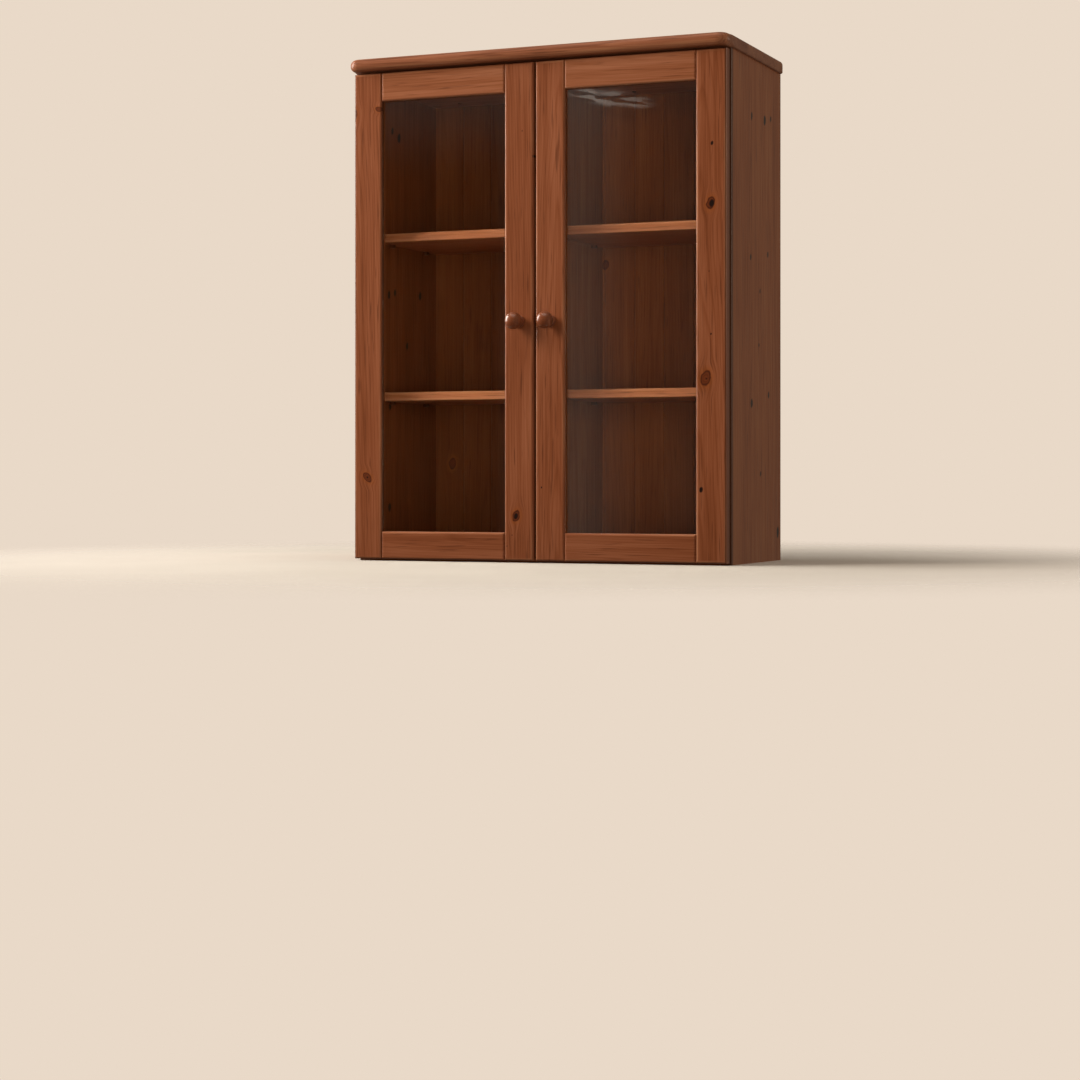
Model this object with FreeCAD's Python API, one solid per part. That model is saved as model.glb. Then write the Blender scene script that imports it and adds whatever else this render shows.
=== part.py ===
# Pine cabinet with two framed glass doors, for a wall or for standing on a base cabinet.
# Sizes are in millimetres. The origin is the middle of the carcass base.
# X points to the viewer's right, Y towards the wall and Z up, so the doors face -Y.
import FreeCAD, Part
import os

V = FreeCAD.Vector

# Carcass
CARCASS_WIDTH = 803.0
CARCASS_DEPTH = 328.0
CARCASS_HEIGHT = 999.0
BOARD = 24.0
ARRIS = 3.0
SIDE_ARRIS = 4.0

# Crown board: its nose fades out along the first part of each flat side
CROWN_THICKNESS = 25.0
CROWN_FRONT_OVERHANG = 19.0
CROWN_SIDE_OVERHANG = 6.5
CROWN_CORNER_RADIUS = 24.0
CROWN_BACK_CORNER_RADIUS = 12.0
CROWN_NOSE_RADIUS = 12.2
CROWN_TOP_EASE = 8.0
CROWN_UNDER_EASE = 3.0
CROWN_FADE_LENGTH = 24.0

# Back boards, tongued and grooved, in a rebate of each side
BACK_THICKNESS = 9.0
BACK_REBATE = 12.0
BACK_END_CLEARANCE = 2.0
BACK_SIDE_CLEARANCE = 0.5
BACK_FIRST_WIDTH = 77.5
BACK_BOARD_PITCH = 132.0
BACK_BOARD_COUNT = 7
BACK_JOINT_GAP = 0.3
BACK_V_GROOVE = 1.5
TONGUE_LENGTH = 5.0
TONGUE_THICKNESS = 3.0
GROOVE_PLAY = 0.2

# Shelves and their supports
SHELF_THICKNESS = 18.0
SHELF_UNDERSIDES = {"lower": 328.0, "upper": 656.0}
SHELF_SETBACK = 40.0
SHELF_CLEARANCE = 1.0
SUPPORT_INSET = 58.0
SUPPORT_BLOCK = (9.0, 10.0, 6.0)
SUPPORT_PEG_RADIUS = 2.5
SUPPORT_PEG_LENGTH = 9.0

# Doors
DOOR_THICKNESS = 22.0
DOOR_GAP = 5.0
DOOR_MEETING_GAP = 5.0
DOOR_SIDE_INSET = 1.5
DOOR_BOTTOM = 4.0
DOOR_TOP = 995.0
DOOR_ARRIS = 4.5
STILE_WIDTH = 62.0
TOP_RAIL_WIDTH = 58.0
BOTTOM_RAIL_WIDTH = 56.0
TENON_LENGTH = 25.0
TENON_THICKNESS = 8.0
TENON_SHOULDER = 8.0
TENON_PLAY = 0.1
GLASS_SETBACK = 10.0
GLASS_THICKNESS = 4.0
GLASS_REBATE = 10.0
GLASS_PLAY = 1.5
BEAD_ROUND = 5.0

# Knobs: radii of the turned shape, and distances from the door front
KNOB_INSET = 31.0
KNOB_HEIGHT = 480.0
KNOB_FOOT_RADIUS = 12.5
KNOB_FOOT_LENGTH = 4.0
KNOB_NECK_RADIUS = 10.2
KNOB_NECK_AT = 7.5
KNOB_COLLAR_RADIUS = 10.8
KNOB_HEAD_RADIUS = 17.2
KNOB_HEAD_AT = 27.0
KNOB_SCREW_RADIUS = 2.0
KNOB_SCREW_LENGTH = 40.0
KNOB_SCREW_PLAY = 0.1

# Single-pivot cup hinges: distances from the door's outer edge and from its front
HINGE_HEIGHTS = {"lower": 110.0, "upper": 890.0}
PIVOT_FROM_EDGE = 9.5
PIVOT_FROM_FRONT = 13.0
PIN_RADIUS = 1.25
PIN_LENGTH = 21.8
PIN_PLAY = 0.05
CUP_FROM_EDGE = 21.5
CUP_RADIUS = 17.5
CUP_DEPTH = 13.0
CUP_FLOOR = 1.0
CUP_PLAY = 0.05
FLANGE_RADIUS = 18.0
FLANGE_THICKNESS = 1.2
FLANGE_BAR_WIDTH = 13.0
FLANGE_BAR_OFFSET = 6.0
FLANGE_SCREW_SPACING = 48.0
POCKET_START = 6.7
POCKET_END = 36.3
POCKET_WIDTH = 15.0
ARM_WIDTH = 14.0
ARM_THICKNESS = 2.0
ARM_EYE_RADIUS = 2.2
ARM_NECK_FROM_EDGE = 31.0
ARM_NECK_RADIUS = 4.0
ARM_NECK_END = 38.0
ARM_END = 92.0
ARM_SCREWS = (60.0, 82.0)

# Magnetic catches on the divider, and what they meet on the doors
CATCH_HEIGHT = 928.0
CATCH_EAR_LENGTH = 50.0
CATCH_EAR_THICKNESS = 2.5
CATCH_BODY_LENGTH = 30.0
CATCH_WIDTH = 14.0
CATCH_DEPTH = 18.0
CATCH_FRONT_SETBACK = 1.0
CATCH_SCREW_SPACING = 40.0
MAGNET_LENGTH = 24.0
MAGNET_WIDTH = 4.0
MAGNET_DEPTH = 12.0
POLE_THICKNESS = 1.5
POLE_AIR_GAP = 0.3
STRIKE_LENGTH = 46.0
STRIKE_WIDTH = 14.0
STRIKE_THICKNESS = 1.2
STRIKE_SCREW_SPACING = 38.0
BUFFER_RADIUS = 4.0
BUFFER_THICKNESS = 4.6
BUFFER_INSET = 5.0
BUFFER_HEIGHTS = (120.0, 860.0)

# Fasteners
FITTING_SCREW = {"shank": 1.6, "length": 12.0, "head": 3.2, "height": 2.0}
CROWN_SCREW = {"shank": 2.0, "length": 40.0, "head": 4.0, "height": 2.4}
KNOB_SCREW = {"shank": KNOB_SCREW_RADIUS, "length": KNOB_SCREW_LENGTH, "head": 4.0, "height": 2.4}
SCREW_PLAY = 0.05
SCREW_TIP = 3.0
SCREW_TIP_SHARE = 0.3
SCREW_HEAD_ROUND_SHARE = 0.6
SCREW_CROSS_WIDTH_SHARE = 0.25
SCREW_CROSS_DEPTH_SHARE = 0.5
CROWN_SCREW_X = (-300.0, -100.0)
CROWN_SCREW_Y = (-110.0, 110.0)
DOWEL_RADIUS = 4.0
DOWEL_LENGTH = 36.0
DOWEL_PLAY = 0.05
DOWEL_IN_SIDE = 14.0
DOWEL_IN_PANEL = 12.0
SIDE_DOWEL_Y = (-110.0, 0.0, 110.0)
DIVIDER_DOWEL_Y = (-80.0, 80.0)
NAIL_RADIUS = 0.9
NAIL_LENGTH = 25.0
NAIL_HEAD_RADIUS = 2.2
NAIL_HEAD_THICKNESS = 1.0
NAIL_INSET = 14.0

# Fixings to the wall and to a base cabinet: one bracket in the right half of each bay
WALL_BRACKET_X = {"left": -124.0, "right": 264.0}
WALL_BRACKET_WIDTH = 20.0
WALL_BRACKET_DEPTH = 30.0
WALL_BRACKET_DROP = 40.0
WALL_BRACKET_THICKNESS = 2.0
WALL_HOLE_RADIUS = 3.0
WALL_HOLE_DROP = 24.0
WALL_BRACKET_SCREWS = (9.0, 22.0)
BASE_HOLE_RADIUS = 2.75
BASE_HOLE_X = 300.0
BASE_HOLE_Y = 110.0

# Planes worked out from the sizes above
CARCASS_FRONT = -CARCASS_DEPTH / 2
CARCASS_BACK = CARCASS_DEPTH / 2
SIDE_OUTER = CARCASS_WIDTH / 2
SIDE_INNER = SIDE_OUTER - BOARD
BACK_FRONT = CARCASS_BACK - BACK_THICKNESS
CEILING = CARCASS_HEIGHT - BOARD
DIVIDER_FACE = BOARD / 2
DOOR_BACK = CARCASS_FRONT - DOOR_GAP
DOOR_FRONT = DOOR_BACK - DOOR_THICKNESS
DOOR_OUTER = -SIDE_OUTER + DOOR_SIDE_INSET
DOOR_INNER = -DOOR_MEETING_GAP / 2
OPENING_LEFT = DOOR_OUTER + STILE_WIDTH
OPENING_RIGHT = DOOR_INNER - STILE_WIDTH
OPENING_BOTTOM = DOOR_BOTTOM + BOTTOM_RAIL_WIDTH
OPENING_TOP = DOOR_TOP - TOP_RAIL_WIDTH
GLASS_FRONT = DOOR_FRONT + GLASS_SETBACK
GLASS_BACK = GLASS_FRONT + GLASS_THICKNESS
PIVOT_X = DOOR_OUTER + PIVOT_FROM_EDGE
PIVOT_Y = DOOR_FRONT + PIVOT_FROM_FRONT
KNOB_X = DOOR_INNER - KNOB_INSET
SHELF_FRONT = CARCASS_FRONT + SHELF_SETBACK
SHELF_BACK = BACK_FRONT - SHELF_CLEARANCE
TOUCH = 1e-4


# Shape helpers

def box(x0, x1, y0, y1, z0, z1):
    """A box between two corner values on each axis, in either order."""
    low = V(min(x0, x1), min(y0, y1), min(z0, z1))
    return Part.makeBox(abs(x1 - x0), abs(y1 - y0), abs(z1 - z0), low)


def rod(start, direction, radius, length):
    return Part.makeCylinder(radius, length, start, direction)


def edges_on(shape, **place):
    """The edges that lie wholly at the given x, y and z values."""
    picked = []
    for edge in shape.Edges:
        bounds = edge.BoundBox
        spans = {
            "x": (bounds.XMin, bounds.XMax),
            "y": (bounds.YMin, bounds.YMax),
            "z": (bounds.ZMin, bounds.ZMax),
        }
        if all(abs(end - place[axis]) < TOUCH for axis in place for end in spans[axis]):
            picked.append(edge)
    return picked


def rounded(shape, radius, *places):
    """Round the edges at each of the given places."""
    edges = []
    for place in places:
        edges.extend(edges_on(shape, **place))
    return shape.makeFillet(radius, edges)


def drilled(shape, holes):
    """Cut every hole that reaches the shape."""
    for hole in holes:
        if shape.BoundBox.intersect(hole.BoundBox):
            shape = shape.cut(hole)
    return shape


def mirrored(shape):
    """The same piece on the other side of the middle plane."""
    return shape.mirror(V(0, 0, 0), V(1, 0, 0))


def both_sides(shapes):
    return shapes + [mirrored(shape) for shape in shapes]


def group(shapes):
    return Part.makeCompound(shapes)


# Fasteners

def screw(at, into, size):
    """A pan-head screw: its head sits on the surface at a point, its shank points into the work."""
    head = Part.makeCylinder(size["head"], size["height"])
    head = rounded(head, SCREW_HEAD_ROUND_SHARE * size["height"], {"z": size["height"]})
    slot_length = size["head"]
    slot_width = SCREW_CROSS_WIDTH_SHARE * size["head"]
    slot_depth = SCREW_CROSS_DEPTH_SHARE * size["height"]
    for length, width in ((slot_length, slot_width), (slot_width, slot_length)):
        head = head.cut(box(-length / 2, length / 2, -width / 2, width / 2,
                            size["height"] - slot_depth, size["height"]))
    straight = size["length"] - SCREW_TIP
    shank = rod(V(0, 0, 0), V(0, 0, -1), size["shank"], straight)
    tip = Part.makeCone(size["shank"], SCREW_TIP_SHARE * size["shank"], SCREW_TIP,
                        V(0, 0, -straight), V(0, 0, -1))
    shape = head.fuse([shank, tip]).removeSplitter()
    shape.Placement = FreeCAD.Placement(at, FreeCAD.Rotation(V(0, 0, -1), into))
    return shape


def screw_hole(at, into, size):
    return rod(at, into, size["shank"] + SCREW_PLAY, size["length"] + SCREW_PLAY)


def hinge_arm_screw_points():
    surface = -SIDE_INNER + ARM_THICKNESS
    return [V(surface, DOOR_FRONT + depth, height)
            for height in HINGE_HEIGHTS.values() for depth in ARM_SCREWS]


def catch_screw_points():
    surface = -DIVIDER_FACE - CATCH_EAR_THICKNESS
    middle = CARCASS_FRONT + CATCH_FRONT_SETBACK + CATCH_DEPTH / 2
    return [V(surface, middle, CATCH_HEIGHT + side * CATCH_SCREW_SPACING / 2) for side in (-1, 1)]


def carcass_screws():
    """Places and directions of the hinge and catch screws on the carcass's left half."""
    places = [(point, V(-1, 0, 0)) for point in hinge_arm_screw_points()]
    places += [(point, V(1, 0, 0)) for point in catch_screw_points()]
    return places


def bracket_screws():
    """Places and directions of the screws of both wall brackets."""
    surface = CEILING - WALL_BRACKET_THICKNESS
    return [(V(x, BACK_FRONT - depth, surface), V(0, 0, 1))
            for x in WALL_BRACKET_X.values() for depth in WALL_BRACKET_SCREWS]


def door_screws():
    """Places and directions of the fitting screws on the left door."""
    flange = DOOR_BACK + FLANGE_THICKNESS
    bar = DOOR_OUTER + CUP_FROM_EDGE + FLANGE_BAR_OFFSET
    strike = DOOR_BACK + STRIKE_THICKNESS
    points = [V(bar, flange, height + side * FLANGE_SCREW_SPACING / 2)
              for height in HINGE_HEIGHTS.values() for side in (-1, 1)]
    points += [V(strike_middle(), strike, CATCH_HEIGHT + side * STRIKE_SCREW_SPACING / 2)
               for side in (-1, 1)]
    return [(point, V(0, -1, 0)) for point in points]


def crown_screws():
    return [(V(x, y, CEILING), V(0, 0, 1)) for x in CROWN_SCREW_X for y in CROWN_SCREW_Y]


def fitted_screws(places, size):
    return [screw(point, into, size) for point, into in places]


def holes_for(places, size):
    return [screw_hole(point, into, size) for point, into in places]


def side_dowel_places():
    """Each place is the outer end of a dowel and its direction, on the left side."""
    heights = (BOARD / 2, CARCASS_HEIGHT - BOARD / 2)
    return [(V(-SIDE_INNER - DOWEL_IN_SIDE, y, z), V(1, 0, 0)) for y in SIDE_DOWEL_Y for z in heights]


def divider_dowel_places():
    low = [(V(0, y, BOARD - DOWEL_IN_PANEL), V(0, 0, 1)) for y in DIVIDER_DOWEL_Y]
    high = [(V(0, y, CEILING + DOWEL_IN_PANEL), V(0, 0, -1)) for y in DIVIDER_DOWEL_Y]
    return low + high


def dowel(at, along):
    return rod(at, along, DOWEL_RADIUS, DOWEL_LENGTH)


def dowel_hole(at, along):
    return rod(at - along * DOWEL_PLAY, along, DOWEL_RADIUS + DOWEL_PLAY, DOWEL_LENGTH + 2 * DOWEL_PLAY)


def side_dowels():
    return [dowel(*place) for place in side_dowel_places()]


def divider_dowels():
    return [dowel(*place) for place in divider_dowel_places()]


def dowel_holes():
    left = [dowel_hole(*place) for place in side_dowel_places()]
    return both_sides(left) + [dowel_hole(*place) for place in divider_dowel_places()]


# Carcass

def left_side(holes):
    shape = box(-SIDE_OUTER, -SIDE_INNER, CARCASS_FRONT, CARCASS_BACK, 0, CARCASS_HEIGHT)
    shape = rounded(shape, SIDE_ARRIS,
                    {"x": -SIDE_OUTER, "y": CARCASS_FRONT},
                    {"x": -SIDE_INNER, "y": CARCASS_FRONT},
                    {"x": -SIDE_OUTER, "y": CARCASS_BACK})
    rebate = box(-SIDE_INNER - BACK_REBATE, -SIDE_INNER, BACK_FRONT, CARCASS_BACK, 0, CARCASS_HEIGHT)
    return drilled(shape.cut(rebate), holes)


def centre_divider(holes):
    shape = box(-DIVIDER_FACE, DIVIDER_FACE, CARCASS_FRONT, BACK_FRONT, BOARD, CEILING)
    shape = rounded(shape, ARRIS,
                    {"x": -DIVIDER_FACE, "y": CARCASS_FRONT},
                    {"x": DIVIDER_FACE, "y": CARCASS_FRONT})
    return drilled(shape, holes)


def bottom_board(holes):
    shape = box(-SIDE_INNER, SIDE_INNER, CARCASS_FRONT, BACK_FRONT, 0, BOARD)
    base_holes = [rod(V(x, y, 0), V(0, 0, 1), BASE_HOLE_RADIUS, BOARD)
                  for x in (-BASE_HOLE_X, BASE_HOLE_X) for y in (-BASE_HOLE_Y, BASE_HOLE_Y)]
    return drilled(shape, holes + base_holes)


def inner_top(holes):
    shape = box(-SIDE_INNER, SIDE_INNER, CARCASS_FRONT, BACK_FRONT, CEILING, CARCASS_HEIGHT)
    return drilled(shape, holes)


def corner_arc(centre, radius, start, end):
    """An arc seen from above, between two unit directions from its centre."""
    middle = (start + end).normalize()
    return Part.Arc(centre + start * radius, centre + middle * radius, centre + end * radius).toShape()


def crown_outline():
    """The crown seen from above. Each side is in two lengths: along the first its nose fades out."""
    side = SIDE_OUTER + CROWN_SIDE_OVERHANG
    front = DOOR_FRONT - CROWN_FRONT_OVERHANG
    wide, tight = CROWN_CORNER_RADIUS, CROWN_BACK_CORNER_RADIUS
    forward, backward, right = V(0, -1, 0), V(0, 1, 0), V(1, 0, 0)
    fade_start = V(side, front + wide, CARCASS_HEIGHT)
    fade_end = fade_start + backward * CROWN_FADE_LENGTH
    side_end = V(side, CARCASS_BACK - tight, CARCASS_HEIGHT)
    half = [
        corner_arc(fade_start - right * wide, wide, forward, right),
        Part.LineSegment(fade_start, fade_end).toShape(),
        Part.LineSegment(fade_end, side_end).toShape(),
        corner_arc(side_end - right * tight, tight, right, backward),
    ]
    front_end = V(side - wide, front, CARCASS_HEIGHT)
    back_end = V(side - tight, CARCASS_BACK, CARCASS_HEIGHT)
    across = [Part.LineSegment(V(-end.x, end.y, end.z), end).toShape() for end in (front_end, back_end)]
    return Part.Wire(Part.sortEdges(both_sides(half) + across)[0])


def crown_board(holes):
    """A board with a round nose along its front and around both front corners, and eased elsewhere."""
    fade_start = DOOR_FRONT - CROWN_FRONT_OVERHANG + CROWN_CORNER_RADIUS
    fade_end = fade_start + CROWN_FADE_LENGTH
    work = FreeCAD.newDocument("crown")
    blank = work.addObject("Part::Feature", "blank")
    blank.Shape = Part.Face(crown_outline()).extrude(V(0, 0, CROWN_THICKNESS))
    radii = []
    for number, edge in enumerate(blank.Shape.Edges, 1):
        if edge.BoundBox.ZLength > TOUCH:
            continue
        nose = CROWN_NOSE_RADIUS
        ease = CROWN_TOP_EASE if edge.BoundBox.ZMin > CARCASS_HEIGHT + TOUCH else CROWN_UNDER_EASE
        if edge.BoundBox.YMax < fade_start + TOUCH:
            radii.append((number, nose, nose))
        elif edge.BoundBox.YMax > fade_end + TOUCH:
            radii.append((number, ease, ease))
        elif edge.Vertexes[0].Point.y < edge.Vertexes[1].Point.y:
            radii.append((number, nose, ease))
        else:
            radii.append((number, ease, nose))
    rounding = work.addObject("Part::Fillet", "rounding")
    rounding.Base = blank
    rounding.Edges = radii
    work.recompute()
    return drilled(rounding.Shape, holes)


# Shelves

def shelf(x0, x1, underside):
    shape = box(x0 + SHELF_CLEARANCE, x1 - SHELF_CLEARANCE, SHELF_FRONT, SHELF_BACK,
                underside, underside + SHELF_THICKNESS)
    return rounded(shape, ARRIS,
                   {"y": SHELF_FRONT, "z": underside},
                   {"y": SHELF_FRONT, "z": underside + SHELF_THICKNESS})


def support_places():
    """Face points of the shelf supports left of the middle, each with the way its peg points."""
    rows = (SHELF_FRONT + SUPPORT_INSET, SHELF_BACK - SUPPORT_INSET)
    faces = ((-SIDE_INNER, V(-1, 0, 0)), (-DIVIDER_FACE, V(1, 0, 0)))
    return [(V(x, y, underside), peg)
            for x, peg in faces for y in rows for underside in SHELF_UNDERSIDES.values()]


def shelf_support(at, peg):
    length, width, height = SUPPORT_BLOCK
    block = box(at.x, at.x - peg.x * length, at.y - width / 2, at.y + width / 2, at.z - height, at.z)
    axis = V(at.x, at.y, at.z - height / 2)
    return block.fuse(rod(axis, peg, SUPPORT_PEG_RADIUS, SUPPORT_PEG_LENGTH))


def support_hole(at, peg):
    axis = V(at.x, at.y, at.z - SUPPORT_BLOCK[2] / 2)
    return rod(axis, peg, SUPPORT_PEG_RADIUS + SCREW_PLAY, SUPPORT_PEG_LENGTH + SCREW_PLAY)


# Back boards

def back_joints():
    """X of the board edges, from the left rebate to the right one."""
    end = SIDE_INNER + BACK_REBATE
    first = -end + BACK_FIRST_WIDTH
    joints = [first + BACK_BOARD_PITCH * index for index in range(BACK_BOARD_COUNT - 1)]
    return [-end] + joints + [end]


def back_board(index):
    """One board: V edges and a V groove on its front, a groove on its left and a tongue on its right."""
    joints = back_joints()
    first = index == 0
    last = index == BACK_BOARD_COUNT - 1
    left = joints[index] + (BACK_SIDE_CLEARANCE if first else BACK_JOINT_GAP / 2)
    right = joints[index + 1] - (BACK_SIDE_CLEARANCE if last else BACK_JOINT_GAP / 2)
    low = BACK_END_CLEARANCE
    height = CARCASS_HEIGHT - 2 * BACK_END_CLEARANCE
    vee = BACK_V_GROOVE
    points = [V(left + vee, BACK_FRONT, low)]
    if not first and not last:
        middle = (joints[index] + joints[index + 1]) / 2
        points += [V(middle - vee, BACK_FRONT, low), V(middle, BACK_FRONT + vee, low),
                   V(middle + vee, BACK_FRONT, low)]
    points += [V(right - vee, BACK_FRONT, low), V(right, BACK_FRONT + vee, low),
               V(right, CARCASS_BACK, low), V(left, CARCASS_BACK, low), V(left, BACK_FRONT + vee, low)]
    outline = Part.makePolygon(points + points[:1])
    shape = Part.Face(outline).extrude(V(0, 0, height))
    tongue_front = (BACK_FRONT + CARCASS_BACK - TONGUE_THICKNESS) / 2
    tongue_back = tongue_front + TONGUE_THICKNESS
    if not last:
        shape = shape.fuse(box(right, right + TONGUE_LENGTH, tongue_front, tongue_back, low, low + height))
    if not first:
        shape = shape.cut(box(left, left + TONGUE_LENGTH + GROOVE_PLAY, tongue_front - GROOVE_PLAY,
                              tongue_back + GROOVE_PLAY, low, low + height))
    return drilled(shape.removeSplitter(), nail_holes(index) + wall_holes())


def nail_points(index):
    joints = back_joints()
    columns = (joints[index] + NAIL_INSET, joints[index + 1] - NAIL_INSET)
    rows = (BOARD / 2, CARCASS_HEIGHT - BOARD / 2)
    return [V(x, CARCASS_BACK, z) for x in columns for z in rows]


def nail(point):
    head = rod(point, V(0, -1, 0), NAIL_HEAD_RADIUS, NAIL_HEAD_THICKNESS)
    return head.fuse(rod(point, V(0, -1, 0), NAIL_RADIUS, NAIL_LENGTH)).removeSplitter()


def nail_holes(index):
    holes = []
    for point in nail_points(index):
        holes.append(rod(point, V(0, -1, 0), NAIL_HEAD_RADIUS + SCREW_PLAY, NAIL_HEAD_THICKNESS))
        holes.append(rod(point, V(0, -1, 0), NAIL_RADIUS + SCREW_PLAY, NAIL_LENGTH + SCREW_PLAY))
    return holes


def back_board_nails():
    return [nail(point) for index in range(BACK_BOARD_COUNT) for point in nail_points(index)]


# Wall brackets

def wall_holes():
    height = CEILING - WALL_HOLE_DROP
    start = BACK_FRONT - WALL_BRACKET_THICKNESS
    length = CARCASS_BACK - start
    return [rod(V(x, start, height), V(0, 1, 0), WALL_HOLE_RADIUS, length)
            for x in WALL_BRACKET_X.values()]


def wall_bracket(middle):
    """An angle in the ceiling corner: one leg under the inner top, one flat on the back boards."""
    x0 = middle - WALL_BRACKET_WIDTH / 2
    x1 = middle + WALL_BRACKET_WIDTH / 2
    leg = box(x0, x1, BACK_FRONT - WALL_BRACKET_DEPTH, BACK_FRONT,
              CEILING - WALL_BRACKET_THICKNESS, CEILING)
    plate = box(x0, x1, BACK_FRONT - WALL_BRACKET_THICKNESS, BACK_FRONT,
                CEILING - WALL_BRACKET_DROP, CEILING)
    shape = leg.fuse(plate).removeSplitter()
    return drilled(shape, wall_holes() + holes_for(bracket_screws(), FITTING_SCREW))


# Doors, made for the left side

def mortises(outer, inner):
    """Slots in a stile for the tenons of both rails."""
    inward = 1 if inner > outer else -1
    mouth = inner - inward * GLASS_REBATE
    end = mouth - inward * (TENON_LENGTH + TENON_PLAY)
    return [box(mouth, end, y0 - TENON_PLAY, y1 + TENON_PLAY, z0 - TENON_PLAY, z1 + TENON_PLAY)
            for y0, y1, z0, z1 in tenon_sections()]


def tenon_sections():
    """Depth and height spans of the bottom and top rails' tenons."""
    middle = (GLASS_FRONT + DOOR_BACK) / 2
    y0 = middle - TENON_THICKNESS / 2
    y1 = middle + TENON_THICKNESS / 2
    bottom = (DOOR_BOTTOM + TENON_SHOULDER, OPENING_BOTTOM - GLASS_REBATE - TENON_SHOULDER)
    top = (OPENING_TOP + GLASS_REBATE + TENON_SHOULDER, DOOR_TOP - TENON_SHOULDER)
    return [(y0, y1) + span for span in (bottom, top)]


def stile(outer, inner, holes):
    """An upright with rounded arrises, a rebate for the glass and mortises for the rails."""
    inward = 1 if inner > outer else -1
    shape = box(outer, inner, DOOR_FRONT, DOOR_BACK, DOOR_BOTTOM, DOOR_TOP)
    shape = rounded(shape, DOOR_ARRIS, {"y": DOOR_FRONT})
    shape = rounded(shape, ARRIS, {"x": outer, "y": DOOR_BACK})
    rebate = box(inner - inward * GLASS_REBATE, inner, GLASS_FRONT, DOOR_BACK, DOOR_BOTTOM, DOOR_TOP)
    return drilled(shape.cut([rebate] + mortises(outer, inner)), holes)


def rail(outer, inner, tenon):
    """A cross piece: its front fits between the stiles, its back fills their rebates, then the tenons."""
    inward = 1 if inner > outer else -1
    front = box(OPENING_LEFT, OPENING_RIGHT, DOOR_FRONT, GLASS_FRONT, outer, inner)
    front = rounded(front, DOOR_ARRIS, {"y": DOOR_FRONT})
    left = OPENING_LEFT - GLASS_REBATE
    right = OPENING_RIGHT + GLASS_REBATE
    back = box(left, right, GLASS_FRONT, DOOR_BACK, outer, inner - inward * GLASS_REBATE)
    tenons = box(left - TENON_LENGTH, right + TENON_LENGTH, *tenon)
    return front.fuse([back, tenons]).removeSplitter()


def glass_pane():
    margin = GLASS_REBATE - GLASS_PLAY
    return box(OPENING_LEFT - margin, OPENING_RIGHT + margin, GLASS_FRONT, GLASS_BACK,
               OPENING_BOTTOM - margin, OPENING_TOP + margin)


def glazing_beads():
    """Four mitred strips behind the glass, each with its inner back arris rounded."""
    inner = [V(OPENING_LEFT, GLASS_BACK, OPENING_BOTTOM), V(OPENING_RIGHT, GLASS_BACK, OPENING_BOTTOM),
             V(OPENING_RIGHT, GLASS_BACK, OPENING_TOP), V(OPENING_LEFT, GLASS_BACK, OPENING_TOP)]
    outward = [V(-1, 0, -1), V(1, 0, -1), V(1, 0, 1), V(-1, 0, 1)]
    outer = [corner + direction * GLASS_REBATE for corner, direction in zip(inner, outward)]
    beads = []
    for start in range(4):
        end = (start + 1) % 4
        outline = Part.makePolygon([inner[start], inner[end], outer[end], outer[start], inner[start]])
        strip = Part.Face(outline).extrude(V(0, DOOR_BACK - GLASS_BACK, 0))
        edge_place = {"y": DOOR_BACK}
        if inner[start].x == inner[end].x:
            edge_place["x"] = inner[start].x
        else:
            edge_place["z"] = inner[start].z
        beads.append(rounded(strip, BEAD_ROUND, edge_place))
    return beads


def knob():
    """A turned knob: a foot, a hollowed neck and a ball head, drilled for its screw."""
    def point(radius, distance):
        return V(radius, -distance, 0)

    collar_at = KNOB_HEAD_AT - (KNOB_HEAD_RADIUS ** 2 - KNOB_COLLAR_RADIUS ** 2) ** 0.5
    foot = point(KNOB_FOOT_RADIUS, 0)
    foot_top = point(KNOB_FOOT_RADIUS, KNOB_FOOT_LENGTH)
    collar = point(KNOB_COLLAR_RADIUS, collar_at)
    tip = point(0, KNOB_HEAD_AT + KNOB_HEAD_RADIUS)
    edges = [
        Part.LineSegment(point(0, 0), foot).toShape(),
        Part.LineSegment(foot, foot_top).toShape(),
        Part.Arc(foot_top, point(KNOB_NECK_RADIUS, KNOB_NECK_AT), collar).toShape(),
        Part.Arc(collar, point(KNOB_HEAD_RADIUS, KNOB_HEAD_AT), tip).toShape(),
        Part.LineSegment(tip, point(0, 0)).toShape(),
    ]
    shape = Part.Face(Part.Wire(edges)).revolve(V(0, 0, 0), V(0, 1, 0), 360)
    shape.Placement = FreeCAD.Placement(V(KNOB_X, DOOR_FRONT, KNOB_HEIGHT), FreeCAD.Rotation())
    return drilled(shape, [knob_screw_hole()])


def knob_screw_place():
    return V(KNOB_X, DOOR_BACK, KNOB_HEIGHT), V(0, -1, 0)


def knob_screw_hole():
    at, into = knob_screw_place()
    return rod(at, into, KNOB_SCREW_RADIUS + KNOB_SCREW_PLAY, KNOB_SCREW_LENGTH + KNOB_SCREW_PLAY)


def strike_middle():
    """X of the middle of the left catch and of the strike plate in front of it."""
    return -DIVIDER_FACE - CATCH_WIDTH / 2


def strike_plate(holes):
    middle = strike_middle()
    shape = box(middle - STRIKE_WIDTH / 2, middle + STRIKE_WIDTH / 2,
                DOOR_BACK, DOOR_BACK + STRIKE_THICKNESS,
                CATCH_HEIGHT - STRIKE_LENGTH / 2, CATCH_HEIGHT + STRIKE_LENGTH / 2)
    return drilled(shape, holes)


def door_buffers():
    x = DOOR_INNER - BUFFER_INSET
    return [rod(V(x, DOOR_BACK, z), V(0, 1, 0), BUFFER_RADIUS, BUFFER_THICKNESS) for z in BUFFER_HEIGHTS]


# Hinges, made for the left door

def cup_axis_point(height):
    return V(DOOR_OUTER + CUP_FROM_EDGE, DOOR_BACK, height)


def cup_hole(height):
    return rod(cup_axis_point(height), V(0, -1, 0), CUP_RADIUS + CUP_PLAY, CUP_DEPTH + CUP_PLAY)


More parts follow.
